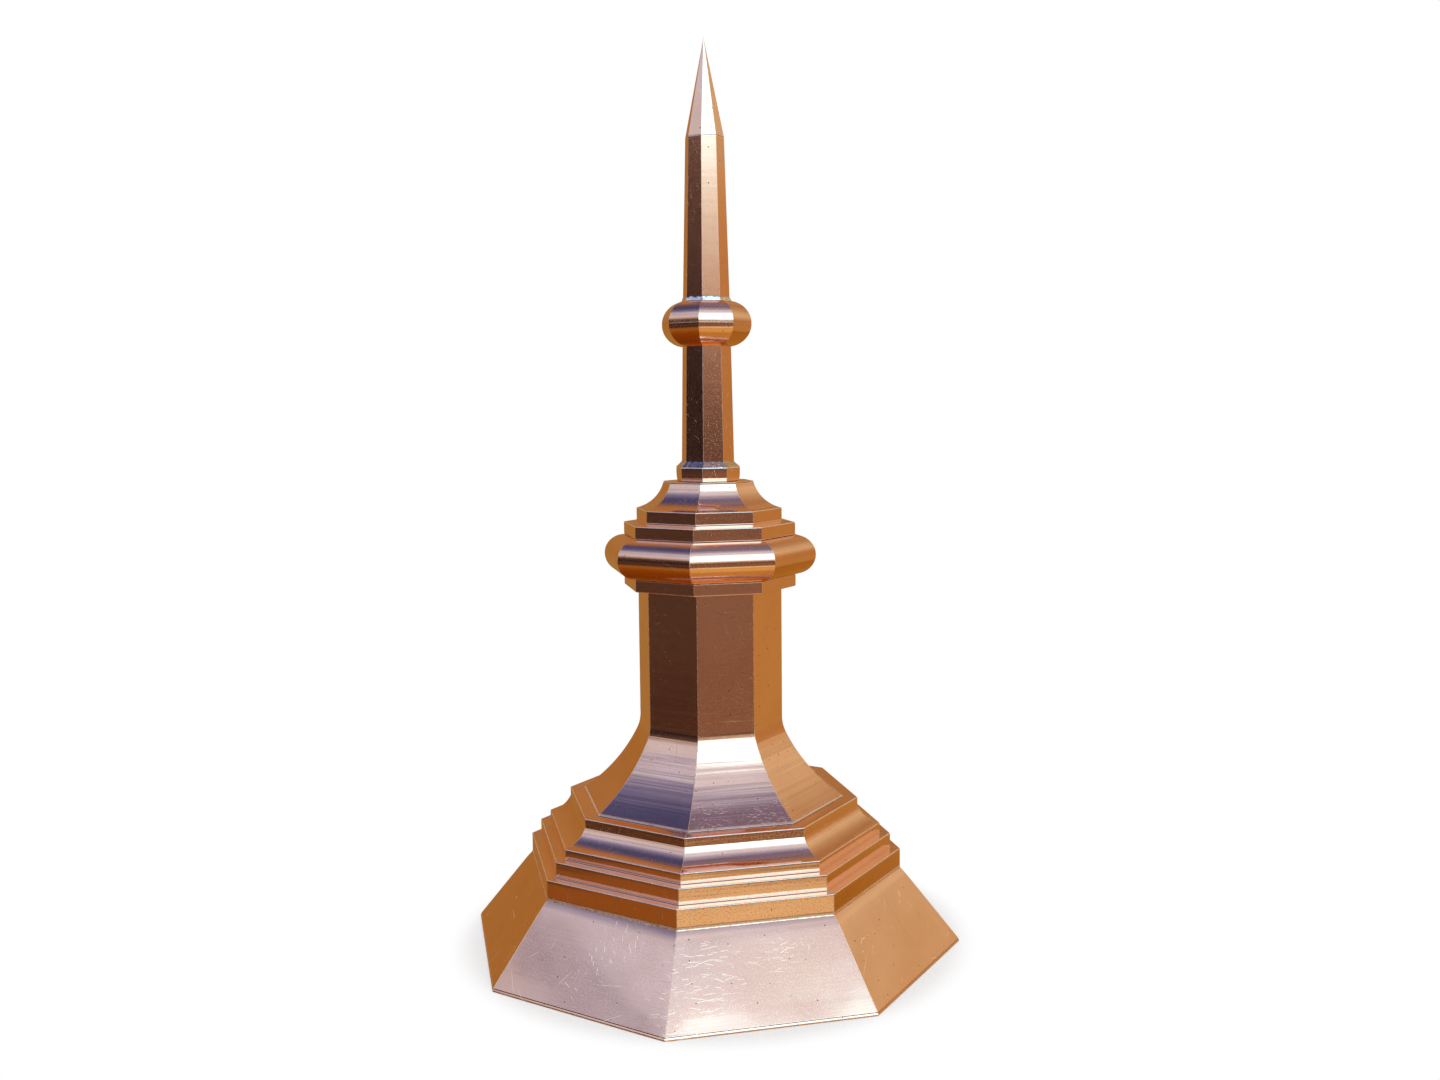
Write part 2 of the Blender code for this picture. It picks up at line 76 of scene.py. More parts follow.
# ------------ sheet metal
MM = 0.001
MITRE_GAP = 0.15 * MM  # of each mitred end from the mitre plane
FOLD_OUTSIDE = 1.3 * MM  # bend radius on the convex side of a fold
FOLD_INSIDE = 1.5 * MM
SHEET = 1.1 * MM
EDGE_ROLL = 0.45 * MM  # rounding of a mitred edge
ARRIS_RADIUS = 0.8 * MM  # rounding of the corners of the one-piece octagonal shells
CREASE = math.radians(14)  # a sharper turn in a section is a fold, a gentler one lies on a curve
STRAIGHT_RATIO = 3.5  # a stretch this much longer than its neighbour is straight
FOLD_STEPS = 5
ROLL_STEPS = 3
CORNER_STEPS = 4
CURVE_STEP = math.radians(2.2)
POINT_SPACING = 8 * MM  # at most, along a straight stretch
FADE = 22 * MM  # dishing dies out this far from a fold or a mitre
SWELL_REACH = 16 * MM  # the skirt swells this far below its upper fold
SWELL_HEIGHT = 1.0 * MM
HEM_ROLL = 1.8 * MM  # how high the rolled underside of the hem stands
HEM_WIDTH = 2.0 * MM  # of its flattened face
HEM_LEAN = math.radians(31)
COLLAR_TUCK = ((0.0, 1.15), (0.2, 0.62), (0.4, 0.22), (0.6, 0.04))  # share of the height, mm inwards
TIP_RADIUS = 0.45 * MM
SEAM_RADIUS = 0.40 * MM  # of the solder that fills a mitre
SEAM_INSET = 0.40 * MM  # of its middle from the outside of the sheet
SKIRT_SEAM_INSET = 0.55 * MM
SEAM_SIDES = 6
SEAM_LUMPS = 0.25  # how uneven its thickness is
SOLDER_STEP = 2 * MM  # between the points round a band of solder
LUMP_SIZE = 4 * MM


# ------------ reading a section from the frame
def section(node, turn=0.0):
    """The outline in which the middle plane of one side cuts a CAD node, starting at its outer foot."""
    mesh = bmesh.new()
    mesh.from_mesh(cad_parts[node].data)
    bmesh.ops.rotate(mesh, verts=mesh.verts, matrix=Matrix.Rotation(-turn, 3, "Z"))
    bmesh.ops.remove_doubles(mesh, verts=mesh.verts, dist=0.002 * MM)
    everything = [*mesh.verts, *mesh.edges, *mesh.faces]
    cut = bmesh.ops.bisect_plane(
        mesh, geom=everything, plane_co=(0, 0, 0), plane_no=(1, 0, 0), dist=0.0005 * MM
    )["geom_cut"]
    edges = [e for e in cut if isinstance(e, bmesh.types.BMEdge)]
    edges = [e for e in edges if all(v.co.y < 0.001 * MM for v in e.verts)]
    neighbours = {}
    for edge in edges:
        for vert, other in (edge.verts, reversed(edge.verts)):
            neighbours.setdefault(vert, []).append(other)
    start = next(iter(neighbours))
    walk = [start]
    previous, here = None, start
    while True:
        onward = [v for v in neighbours[here] if v is not previous]
        previous, here = here, onward[0]
        if here is start:
            break
        walk.append(here)
    points = [Vector((-v.co.y, v.co.z)) for v in walk]
    mesh.free()
    return start_at_outer_foot(without_straight_points(points))


def without_straight_points(points):
    kept = []
    for i, point in enumerate(points):
        before, after = point - points[i - 1], points[(i + 1) % len(points)] - point
        if abs(signed_turn(before, after)) > math.radians(0.6):
            kept.append(point)
    return kept


def signed_turn(before, after):
    return math.atan2(before.x * after.y - before.y * after.x, before.dot(after))


def start_at_outer_foot(points):
    """The two shortest edges are the cut edges of the sheet, and the lower one is its foot."""
    count = len(points)
    area = sum(a.x * b.y - a.y * b.x for a, b in zip(points, points[1:] + points[:1]))
    if area < 0:
        points = points[::-1]
    length = {i: (points[(i + 1) % count] - points[i]).length for i in range(count)}
    cut_edges = sorted(length, key=length.get)[:2]
    foot = min(cut_edges, key=lambda i: points[i].y + points[(i + 1) % count].y)
    top = max(cut_edges, key=lambda i: points[i].y + points[(i + 1) % count].y)
    first = (foot + 1) % count
    outer_count = (top - first) % count + 1
    return points[first:] + points[:first], outer_count


# ------------ a finer section
def tangents(points, turns):
    """A unit tangent at the start and the end of each edge, so that curves come out round."""
    count = len(points)
    chords = [(points[(i + 1) % count] - points[i]) for i in range(count)]
    starts, ends = [None] * count, [None] * count
    for i in range(count):
        if abs(turns[i]) > CREASE:
            continue
        before, after = chords[i - 1], chords[i]
        if after.length > STRAIGHT_RATIO * before.length:
            tangent = after.normalized()
        elif before.length > STRAIGHT_RATIO * after.length:
            tangent = before.normalized()
        else:
            tangent = (before.normalized() + after.normalized()).normalized()
        ends[i - 1], starts[i] = tangent, tangent
    for i, chord in enumerate(chords):
        along = chord.normalized()
        if starts[i] is None and ends[i] is None:
            starts[i] = ends[i] = along
        elif starts[i] is None:
            starts[i] = 2 * ends[i].dot(along) * along - ends[i]
        elif ends[i] is None:
            ends[i] = 2 * starts[i].dot(along) * along - starts[i]
    return starts, ends


def hermite(low, high, start, end, share):
    length = (high - low).length
    s2, s3 = share * share, share**3
    return (
        (2 * s3 - 3 * s2 + 1) * low
        + (s3 - 2 * s2 + share) * length * start
        + (3 * s2 - 2 * s3) * high
        + (s3 - s2) * length * end
    )


def edge_points(low, high, start, end, spacing):
    """Points from low up to, but not including, high."""
    bend = abs(signed_turn(start, end))
    steps = max(1, math.ceil(bend / CURVE_STEP), math.ceil((high - low).length / spacing))
    return [hermite(low, high, start, end, k / steps) for k in range(steps)]


def trimmed(line, distance):
    """The polyline without its first stretch of this length."""
    left = distance
    for i in range(len(line) - 1):
        step = (line[i + 1] - line[i]).length
        if step > left:
            return [line[i].lerp(line[i + 1], left / step), *line[i + 1 :]]
        left -= step
    return line[-2:]


def fold_arc(low, high, start, end):
    """The round of a fold, as a curve that leaves both stretches along their own direction."""
    turn = abs(signed_turn(start, end))
    reach = (high - low).length / (2 * math.cos(turn / 2)) / math.tan(turn / 2)
    handle = 4 / 3 * math.tan(turn / 4) * reach
    a, b = low + handle * start, high - handle * end
    points = []
    for k in range(1, FOLD_STEPS):
        s = k / FOLD_STEPS
        points.append(
            (1 - s) ** 3 * low + 3 * (1 - s) ** 2 * s * a + 3 * (1 - s) * s * s * b + s**3 * high
        )
    return points


def fine_section(corners, outer_count, spacing):
    """One dict a point: its place, whether it is on a fold, how far it is lightened by rubbing and a painted
    highlight, and its side (1 is outside).
    """
    count = len(corners)
    turns = [
        signed_turn(corners[i] - corners[i - 1], corners[(i + 1) % count] - corners[i])
        for i in range(count)
    ]
    starts, ends = tangents(corners, turns)
    creases = [i for i in range(count) if abs(turns[i]) > CREASE]
    runs = []
    for crease, following in zip(creases, creases[1:] + [creases[0] + count]):
        line = []
        for i in range(crease, following):
            low, high = corners[i % count], corners[(i + 1) % count]
            line += edge_points(low, high, starts[i % count], ends[i % count], spacing)
        line.append(corners[following % count])
        runs.append(line)
    shortened = []
    for k, line in enumerate(runs):
        length = sum((b - a).length for a, b in zip(line, line[1:]))
        for at in (creases[k], creases[(k + 1) % len(creases)]):
            radius = FOLD_OUTSIDE if turns[at] > 0 else FOLD_INSIDE
            cut = min(radius * math.tan(abs(turns[at]) / 2), 0.4 * length)
            line = trimmed(line, cut)[::-1]
        shortened.append(line)
    points = []
    for k, line in enumerate(shortened):
        side = 1 if creases[k] < outer_count - 1 else -1
        following = shortened[(k + 1) % len(shortened)]
        stands_out = turns[creases[(k + 1) % len(creases)]] > 0
        points += [dict(at=p, on_fold=False, worn_highlight=0.0, side=side) for p in line]
        start = (line[-1] - line[-2]).normalized()
        end = (following[1] - following[0]).normalized()
        # Convex folds are lightened, partly as rubbing and partly as a painted highlight along the fold.
        points[-1]["worn_highlight"] = 0.5 * stands_out
        points += [
            dict(at=p, on_fold=True, worn_highlight=float(stands_out), side=side)
            for p in fold_arc(line[-1], following[0], start, end)
        ]
    add_normals_and_lengths(points)
    return points


def add_normals_and_lengths(points):
    """Also the length of the section up to each point, and how free the point is to be dished (0 to 1)."""
    count = len(points)
    along = 0.0
    for i, point in enumerate(points):
        before = (point["at"] - points[i - 1]["at"]).normalized()
        after = (points[(i + 1) % count]["at"] - point["at"]).normalized()
        middle = (before + after).normalized()
        point["normal"] = Vector((middle.y, -middle.x))
        point["along"] = along
        along += (points[(i + 1) % count]["at"] - point["at"]).length
    folds = [p["along"] for p in points if p["on_fold"]]
    for point in points:
        reach = min(min(abs(point["along"] - f), along - abs(point["along"] - f)) for f in folds)
        point["free"] = smooth_step(reach / FADE)


def smooth_step(value):
    value = min(1.0, max(0.0, value))
    return value * value * (3 - 2 * value)


# ------------ shells
class ShellBuilder:
    """Collects rings of points with their texture coordinates and how far their colour is lightened
    (rubbing, and a painted highlight), and skins them.
    """

    def __init__(self, seed, goes_round=False):
        self.seed = seed
        self.goes_round = goes_round
        self.mesh = bmesh.new()
        self.uv = self.mesh.loops.layers.uv.new("sheet")
        # This vertex layer says how far the copper finish lightens a point: rubbing on folds and rolled
        # edges, and a painted highlight along them.
        self.wear_highlight = self.mesh.verts.layers.float.new("wear_highlight")
        self.along = {}

    def vert(self, place, wear_highlight, along):
        made = self.mesh.verts.new(place)
        made[self.wear_highlight] = wear_highlight
        self.along[made] = along
        return made

    def face(self, verts):
        """Texture coordinates run across one flat side and along the section, in metres."""
        made = self.mesh.faces.new(verts)
        made.smooth = True
        side = 0
        if self.goes_round:
            middle = made.calc_center_median()
            side = round(math.atan2(middle.x, -middle.y) / (2 * HALF_SIDE))
        across = Vector((math.cos(side * 2 * HALF_SIDE), math.sin(side * 2 * HALF_SIDE), 0))
        shift = 0.7 * self.seed + 0.31 * side
        for loop in made.loops:
            loop[self.uv].uv = (loop.vert.co.dot(across) + shift, self.along[loop.vert])
        return made

    def skin(self, rings, closed=False):
        """Faces between each ring and the next, and from the last to the first if closed."""
        for low, high in zip(rings, rings[1:] + (rings[:1] if closed else [])):
            for k in range(len(low)):
                after = (k + 1) % len(low)
                self.face((low[k], low[after], high[after], high[k]))

    def cap(self, rings):
        """Faces over both ends."""
        self.face(rings[0][::-1])
        self.face(rings[-1])

    def finish(self, name, material, turn=0.0):
        mesh = bpy.data.meshes.new(name)
        bmesh.ops.recalc_face_normals(self.mesh, faces=self.mesh.faces)
        self.mesh.to_mesh(mesh)
        self.mesh.free()
        mesh.transform(Matrix.Rotation(turn, 4, "Z"))
        mesh.materials.append(material)
        mesh.set_sharp_from_angle(angle=math.radians(50))
        made = bpy.data.objects.new(name, mesh)
        bpy.context.scene.collection.objects.link(made)
        weighted = made.modifiers.new("even_shading", "WEIGHTED_NORMAL")
        weighted.keep_sharp = True
        return made


def dish(place_across, along, seed, depth, wave):
    """How far a flat stands out of true: a broad bow with a smaller ripple in it."""
    broad = noise.noise(Vector((place_across / wave, along / wave, seed)))
    ripple = noise.noise(Vector((2.7 * place_across / wave, 2.7 * along / wave, seed + 40)))
    return depth * (broad + 0.28 * ripple)


def panel_shell(name, points, turn, material, columns, depth, wave, seed):
    """One mitred side of a moulding."""
    builder = ShellBuilder(seed)
    columns_across = across_steps(columns)
    rings = []
    for side, inset_angle, share in columns_across:
        ring = []
        for point in points:
            inset = EDGE_ROLL * (1 - math.sin(inset_angle))
            place = point["at"] - inset * point["normal"]
            half = place.x * SIDE_TAN - MITRE_GAP / math.cos(HALF_SIDE)
            if side:
                x = side * (half - EDGE_ROLL * (1 - math.cos(inset_angle)))
            else:
                x = share * (half - EDGE_ROLL)
            to_mitre = half - abs(x)
            free = point["free"] * smooth_step(to_mitre / FADE)
            if free > 0:
                bow = dish(x, point["along"] if point["side"] > 0 else -point["along"], seed, depth, wave)
                place = place + free * bow * point["side"] * point["normal"]
            # Rolled mitre edges get full lightening: rubbing and a painted highlight.
            wear_highlight = max(point["worn_highlight"], 1.0 if side else 0.0)
            ring.append(builder.vert((x, -place.x, place.y), wear_highlight, point["along"]))
        rings.append(ring)
    builder.skin(rings)
    builder.cap(rings)
    return builder.finish(name, material, turn)


def across_steps(columns):
    """(end or 0, roll angle, share of the half width) for each column, from one mitre to the other."""
    roll = [math.radians(90 * k / ROLL_STEPS) for k in range(ROLL_STEPS)]
    left = [(-1, t, 0.0) for t in roll]
    right = [(1, t, 0.0) for t in reversed(roll)]
    middle = [(0, math.radians(90), 2 * k / columns - 1) for k in range(columns + 1)]
    return [*left, *middle, *right]


def octagon_ring(apothem, height, radius):
    """(x, y, z, lightening by rubbing and painted highlight) round an octagon whose corners are rounded to
    this radius.
    """
    places = []
    radius = min(radius, 0.6 * apothem)
    centre_reach = (apothem - radius) / math.cos(HALF_SIDE)
    for k in range(SIDES):
        middle = HALF_SIDE * (2 * k + 1)
        centre = Vector((centre_reach * math.cos(middle), centre_reach * math.sin(middle)))
        for j in range(CORNER_STEPS + 1):
            t = middle + HALF_SIDE * (2 * j / CORNER_STEPS - 1)
            spot = centre + radius * Vector((math.cos(t), math.sin(t)))
            # The rounded arrises are lightened: rubbing and a painted highlight.
            places.append((spot.x, spot.y, height, 1.0 if 0 < j < CORNER_STEPS else 0.0))
    return places


def octagon_shell(name, points, material, seed):
    """A one-piece octagonal shell with rounded arrises."""
    builder = ShellBuilder(seed, goes_round=True)
    rings = []
    for point in points:
        outside = point["side"] > 0
        ring = octagon_ring(point["at"].x, point["at"].y, ARRIS_RADIUS if outside else FOLD_INSIDE)
        verts = []
        for x, y, z, wear_highlight in ring:
            verts.append(builder.vert((x, y, z), max(wear_highlight, point["worn_highlight"]), point["along"]))
        rings.append(verts)
    builder.skin(rings, closed=True)
    return builder.finish(name, material)


def tube_rings(path, seed):
    """Rings of points round a path, each ring square to it."""
    rings = []
    for i, place in enumerate(path):
        before = path[max(i - 1, 0)]
        after = path[min(i + 1, len(path) - 1)]
        along = (after - before).normalized()
        outward = Vector((place.x, place.y, 0)).normalized()
        lift = (outward - outward.dot(along) * along).normalized()
        if abs(outward.dot(along)) > 0.98:
            lift = Vector((0, 0, 1))
        sideways = along.cross(lift)
        radius = SEAM_RADIUS * (1 + SEAM_LUMPS * noise.noise(place / LUMP_SIZE + Vector((seed, 0, 0))))
        ring = []
        for k in range(SEAM_SIDES):
            t = 2 * math.pi * k / SEAM_SIDES
            ring.append(place + radius * (math.cos(t) * lift + math.sin(t) * sideways))
        rings.append(ring)
    return rings


def add_tube(builder, path, seed):
    rings = []
    length = 0.0
    for i, ring in enumerate(tube_rings(path, seed)):
        length += (path[i] - path[i - 1]).length if i else 0.0
        rings.append([builder.vert(p, 0.0, length) for p in ring])
    builder.skin(rings)
    builder.cap(rings)


# ------------ finishes
COPPER = (0.955, 0.638, 0.538)  # reflectance of clean polished copper
COPPER_DULL = (0.90, 0.585, 0.470)
# Folds and rolled edges: rubbed copper, and a painted highlight along them.
COPPER_WORN_HIGHLIGHT = (1.0, 0.90, 0.86)
# Scratches drawn near white: real scratches with a painted glint.
SCUFF_GLINT = (1.0, 0.93, 0.88)
SPECK = (0.16, 0.07, 0.05)
SEAM = (0.95, 0.72, 0.58)  # solder coloured by the copper on both sides of it
SEAM_DULL = (0.62, 0.37, 0.27)
SILVER = (0.80, 0.81, 0.84)
SILVER_DULL = (0.42, 0.38, 0.36)
ZINC = (0.60, 0.61, 0.63)
ZINC_DARK = (0.40, 0.41, 0.43)
ZINC_BLOOM = (0.78, 0.79, 0.80)
WIDE_ROLLING_DEPTH = 0.55 * MM
ROLLING_DEPTH = 0.11 * MM
ROLLING_ON_STRAIGHT = 0.3  # share of the rolling lines' depth on the column's straight part
SMUDGE_DEPTH = 0.014 * MM
GRAIN_DEPTH = 0.008 * MM
SCRATCH_DEPTH = 0.004 * MM
SCRATCH_WIDTH = 0.43 * MM
SOLDER_LUMP_DEPTH = 0.16 * MM
SOLDER_SPOT_DEPTH = 0.03 * MM
SPANGLE_DEPTH = 0.012 * MM
PIT_DEPTH = 0.01 * MM


class Graph:
    """Short names for making shader nodes. A value given as an input may be a number or a socket."""

    def __init__(self, owner):
        """The owner is a new material or world."""
        self.owner = owner
        owner.use_nodes = True
        self.tree = owner.node_tree
        self.shader = self.tree.nodes.get("Principled BSDF")

    def put(self, socket, value):
        if isinstance(value, bpy.types.NodeSocket):
            self.tree.links.new(value, socket)
        elif isinstance(value, tuple) and len(value) == 3 and socket.type == "RGBA":
            socket.default_value = (*value, 1.0)
        else:
            socket.default_value = value

    def add(self, kind, inputs=(), **settings):
        made = self.tree.nodes.new(kind)
        for setting, value in settings.items():
            setattr(made, setting, value)
        for where, value in dict(inputs).items():
            self.put(made.inputs[where], value)
        return made

    def surface(self, socket, value):
        self.put(self.shader.inputs[socket], value)

    def calc(self, operation, *values, clamp=False):
        inputs = enumerate(values)
        return self.add("ShaderNodeMath", inputs, operation=operation, use_clamp=clamp).outputs[0]

    def times(self, a, b):
        return self.calc("MULTIPLY", a, b)

    def vector(self, operation, *values):
        return self.add("ShaderNodeVectorMath", enumerate(values), operation=operation).outputs

    def between(self, value, low, high, to_low=0.0, to_high=1.0):
        """Eases from to_low to to_high as the value goes from low to high."""
        inputs = {"Value": value, "From Min": low, "From Max": high, "To Min": to_low, "To Max": to_high}
        made = self.add("ShaderNodeMapRange", inputs, interpolation_type="SMOOTHSTEP")
        return made.outputs["Result"]

    def mix(self, share, a, b):
        made = self.add("ShaderNodeMix", {0: share, 6: a, 7: b}, data_type="RGBA")
        return made.outputs[2]

    def mix_shaders(self, share, a, b):
        return self.add("ShaderNodeMixShader", {0: share, 1: a, 2: b}).outputs[0]

    def object_place(self):
        return self.add("ShaderNodeTexCoord").outputs["Object"]

    def sheet_place(self, scale=(1.0, 1.0, 1.0), turn=0.0):
        """Texture coordinates in metres on the sheet, scaled and turned."""
        uv = self.add("ShaderNodeUVMap", uv_map="sheet").outputs["UV"]
        inputs = {"Vector": uv, "Scale": scale, "Rotation": (0.0, 0.0, turn)}
        return self.add("ShaderNodeMapping", inputs).outputs["Vector"]

    def cloud(self, place, scale, detail=2.0, rough=0.5, twist=0.0):
        inputs = {"Vector": place, "Scale": scale, "Detail": detail, "Roughness": rough, "Distortion": twist}
        return self.add("ShaderNodeTexNoise", inputs).outputs["Fac"]

    def cells(self, place, size):
        inputs = {"Vector": place, "Scale": 1 / size}
        return self.add("ShaderNodeTexVoronoi", inputs, voronoi_dimensions="2D").outputs

    def strokes(self, place, cell, length, width, share, lean=0.0, spread=1.0, swirl=3.0):
        """Straight scratches, one in some of the cells. Neighbours share a lean, which drifts."""
        cells = self.cells(place, cell)
        local = self.vector("SUBTRACT", place, cells["Position"])[0]
        chance = self.add("ShaderNodeSeparateColor", {0: cells["Color"]})
        drift = self.cloud(cells["Position"], 7.0, 1.0)
        drift = self.between(drift, 0.3, 0.7, lean - swirl / 2, lean + swirl / 2)
        angle = self.calc("ADD", drift, self.between(chance.outputs[0], 0.0, 1.0, -spread / 2, spread / 2))
        turned = self.add(
            "ShaderNodeVectorRotate", {"Vector": local, "Angle": angle}, rotation_type="Z_AXIS"
        )
        parts = self.add("ShaderNodeSeparateXYZ", {0: turned.outputs[0]})
        reach = self.between(chance.outputs[2], 0.0, 1.0, 0.35 * length, length)
        far = self.calc("SUBTRACT", self.calc("ABSOLUTE", parts.outputs[0]), reach)
        off = self.calc("ABSOLUTE", parts.outputs[1])
        there = self.between(off, width / 2, width, 1.0, 0.0)
        there = self.times(there, self.between(far, -length / 2, 0.0, 1.0, 0.0))
        return self.times(there, self.calc("LESS_THAN", chance.outputs[1], share))

    def near_places(self, flat, places):
        """1 round these places on the object, with ragged edges; places are (centre, reach)."""
        here = self.object_place()
        ragged = self.between(self.cloud(flat, 55.0, 3.0), 0.3, 0.7, 0.6, 1.4)
        nearest = None
        for centre, reach in places:
            away = self.vector("DISTANCE", here, tuple(centre))["Value"]
            away = self.calc("DIVIDE", away, reach)
            nearest = away if nearest is None else self.calc("MINIMUM", nearest, away)
        return self.between(self.times(nearest, ragged), 0.35, 0.95, 1.0, 0.0)

    def scratch_glints(self, flat, places, lengths, tilt, swirl):
        """Clusters of scratches that lie about one way, in one layer for each length; the copper finish
        draws them near white as a painted glint.
        """
        marks = None
        for number, length in enumerate(lengths):
            turn = 0.5 * number
            turned = self.sheet_place(turn=turn)
            cell = 1.5 * length
            layer = self.strokes(turned, cell, length, SCRATCH_WIDTH, 0.9, tilt - turn, 0.4, swirl)
            marks = layer if marks is None else self.calc("MAXIMUM", marks, layer)
        return self.times(marks, self.near_places(flat, places))

    def dots(self, place, cell, radius, share):
        """A round speck of some size in some of the cells."""
        cells = self.cells(place, cell)
        chance = self.add("ShaderNodeSeparateColor", {0: cells["Color"]})
        size = self.times(chance.outputs[0], radius / cell)
        near = self.calc("LESS_THAN", cells["Distance"], size)
        return self.times(near, self.calc("LESS_THAN", chance.outputs[1], share))

    def relief(self, *layers):
        """Bumps the surface; a layer is (height, depth)."""
        inputs = {"Strength": 1.0}
        for height, depth in layers:
            inputs.update({"Height": height, "Distance": depth})
            inputs["Normal"] = self.add("ShaderNodeBump", inputs).outputs["Normal"]
        self.surface("Normal", inputs["Normal"])


def copper_finish(
    name, rough, scuff_glint_strength, grain, rolled, clusters, lean=0.0, worn_highlight_share=1.0, places=(), straight=None
):
    """Mill-finish copper sheet: rolling lines, cloudy handling marks, scuff marks drawn near white as a
    painted glint, specks, and folds lightened partly by rubbing and partly as a painted highlight.

    The scuff strength, grain and rolled say how strong the scuff marks (drawn near white as a painted
    glint), the fine speckle and the rolling lines are; clusters is higher where scuff marks are rarer; lean
    is the way they lie;
    places are spots with scratches of their own, also drawn as a painted glint; straight is the two heights
    between which the rolling lines get weaker.
    """
    g = Graph(bpy.data.materials.new(name))
    flat = g.sheet_place()
    cloudy = g.cloud(flat, 11.0, 3.0, 0.55)
    smudged = g.cloud(flat, 38.0, 5.0, 0.6, 0.6)
    lines = g.cloud(g.sheet_place((4.0, 280.0, 1.0)), 1.0, 3.0, 0.6)
    wide_lines = g.cloud(g.sheet_place((1.5, 90.0, 1.0)), 1.0, 2.0, 0.5)
    fine = g.cloud(flat, 560.0, 1.0, 0.6)
    if straight is not None:
        here = g.add("ShaderNodeSeparateXYZ", {0: g.object_place()})
        kept = g.between(here.outputs["Z"], *straight, 1.0, ROLLING_ON_STRAIGHT)
        lines = g.times(g.calc("SUBTRACT", lines, 0.5), kept)
        wide_lines = g.times(g.calc("SUBTRACT", wide_lines, 0.5), kept)

    crowded = g.between(g.cloud(g.sheet_place((1.0, 1.3, 1.0)), 13.0, 2.0), clusters, clusters + 0.10)
    short = g.strokes(flat, cell=0.013, length=0.0062, width=0.00032, share=0.95, lean=lean, spread=0.7)
    turned = g.sheet_place(turn=0.3)
    long = g.strokes(turned, cell=0.040, length=0.020, width=0.00028, share=0.55, lean=lean)
    short = g.times(g.times(short, crowded), scuff_glint_strength)
    long = g.times(long, 0.6 * scuff_glint_strength)
    # Scratch marks: real scratches, drawn near white and less metallic as a painted glint.
    scuffs_with_glint = g.calc("MAXIMUM", short, long, clamp=True)
    for around, lengths, tilt, swirl, strength in places:
        marks = g.scratch_glints(flat, around, lengths, tilt, swirl)
        scuffs_with_glint = g.calc("MAXIMUM", scuffs_with_glint, g.times(marks, strength))
    turned = g.sheet_place(turn=1.1)
    hairs = g.strokes(turned, cell=0.075, length=0.036, width=0.00018, share=0.6, lean=lean, spread=2.4)
    specks = g.dots(flat, cell=0.024, radius=0.0009, share=0.6)
    frosted = g.times(g.between(fine, 0.52, 0.66), grain)
    # Folds and rolled edges, lightened partly as rubbing and partly as a painted highlight, patchy with the
    # smudges.
    wear_highlight = g.add("ShaderNodeAttribute", attribute_name="wear_highlight").outputs["Fac"]
    worn_highlight = g.times(g.between(wear_highlight, 0.6, 0.95), g.between(smudged, 0.25, 0.5, 0.55, 1.0))
    worn_highlight = g.times(worn_highlight, worn_highlight_share)

    colour = g.mix(g.between(cloudy, 0.3, 0.75), COPPER, COPPER_DULL)
    colour = g.mix(g.times(hairs, 0.5), colour, SPECK)
    colour = g.mix(specks, colour, SPECK)
    # Painted highlight, with real rubbing, along folds and rolled edges.
    colour = g.mix(g.times(worn_highlight, 0.85), colour, COPPER_WORN_HIGHLIGHT)
    # Scratches drawn near white: a painted glint.
    colour = g.mix(scuffs_with_glint, colour, SCUFF_GLINT)
    g.surface("Base Color", colour)

    roughness = g.between(smudged, 0.3, 0.7, rough * 0.7, rough * 1.5)
    for marks, rougher in ((lines, 0.03), (frosted, 0.42), (worn_highlight, 0.30), (scuffs_with_glint, 0.30), (specks, 0.40)):
        roughness = g.calc("MULTIPLY_ADD", marks, rougher, roughness, clamp=True)
    g.surface("Roughness", roughness)
    # Less metallic in the scratches and a little on the folds, so the white diffuse light shows there as a
    # painted glint.
    dulled_for_glint = g.calc("MAXIMUM", g.times(scuffs_with_glint, 0.80), g.times(worn_highlight, 0.06))
    g.surface("Metallic", g.calc("SUBTRACT", 1.0, dulled_for_glint))

    g.relief(
        (wide_lines, rolled * WIDE_ROLLING_DEPTH),
        (lines, rolled * ROLLING_DEPTH),
        (smudged, SMUDGE_DEPTH),
        (fine, grain * GRAIN_DEPTH),
        (g.calc("SUBTRACT", 1.0, g.calc("MAXIMUM", scuffs_with_glint, hairs)), SCRATCH_DEPTH),
    )
    return g.owner


def solder_finish(name, clean, dull, rough=0.24):
    """Soft solder, wiped while hot: lumpy, streaked, with darker flux spots."""
    g = Graph(bpy.data.materials.new(name))
    place = g.object_place()
    lumps = g.cloud(place, 160.0, 4.0, 0.6, 0.8)
    spots = g.cloud(place, 420.0, 3.0, 0.65)
    g.surface("Base Color", g.mix(g.between(spots, 0.50, 0.66), clean, dull))
    g.surface("Roughness", g.between(lumps, 0.3, 0.7, rough * 0.7, rough * 1.7))
    g.surface("Metallic", 1.0)
    g.relief((lumps, SOLDER_LUMP_DEPTH), (spots, SOLDER_SPOT_DEPTH))
    return g.owner


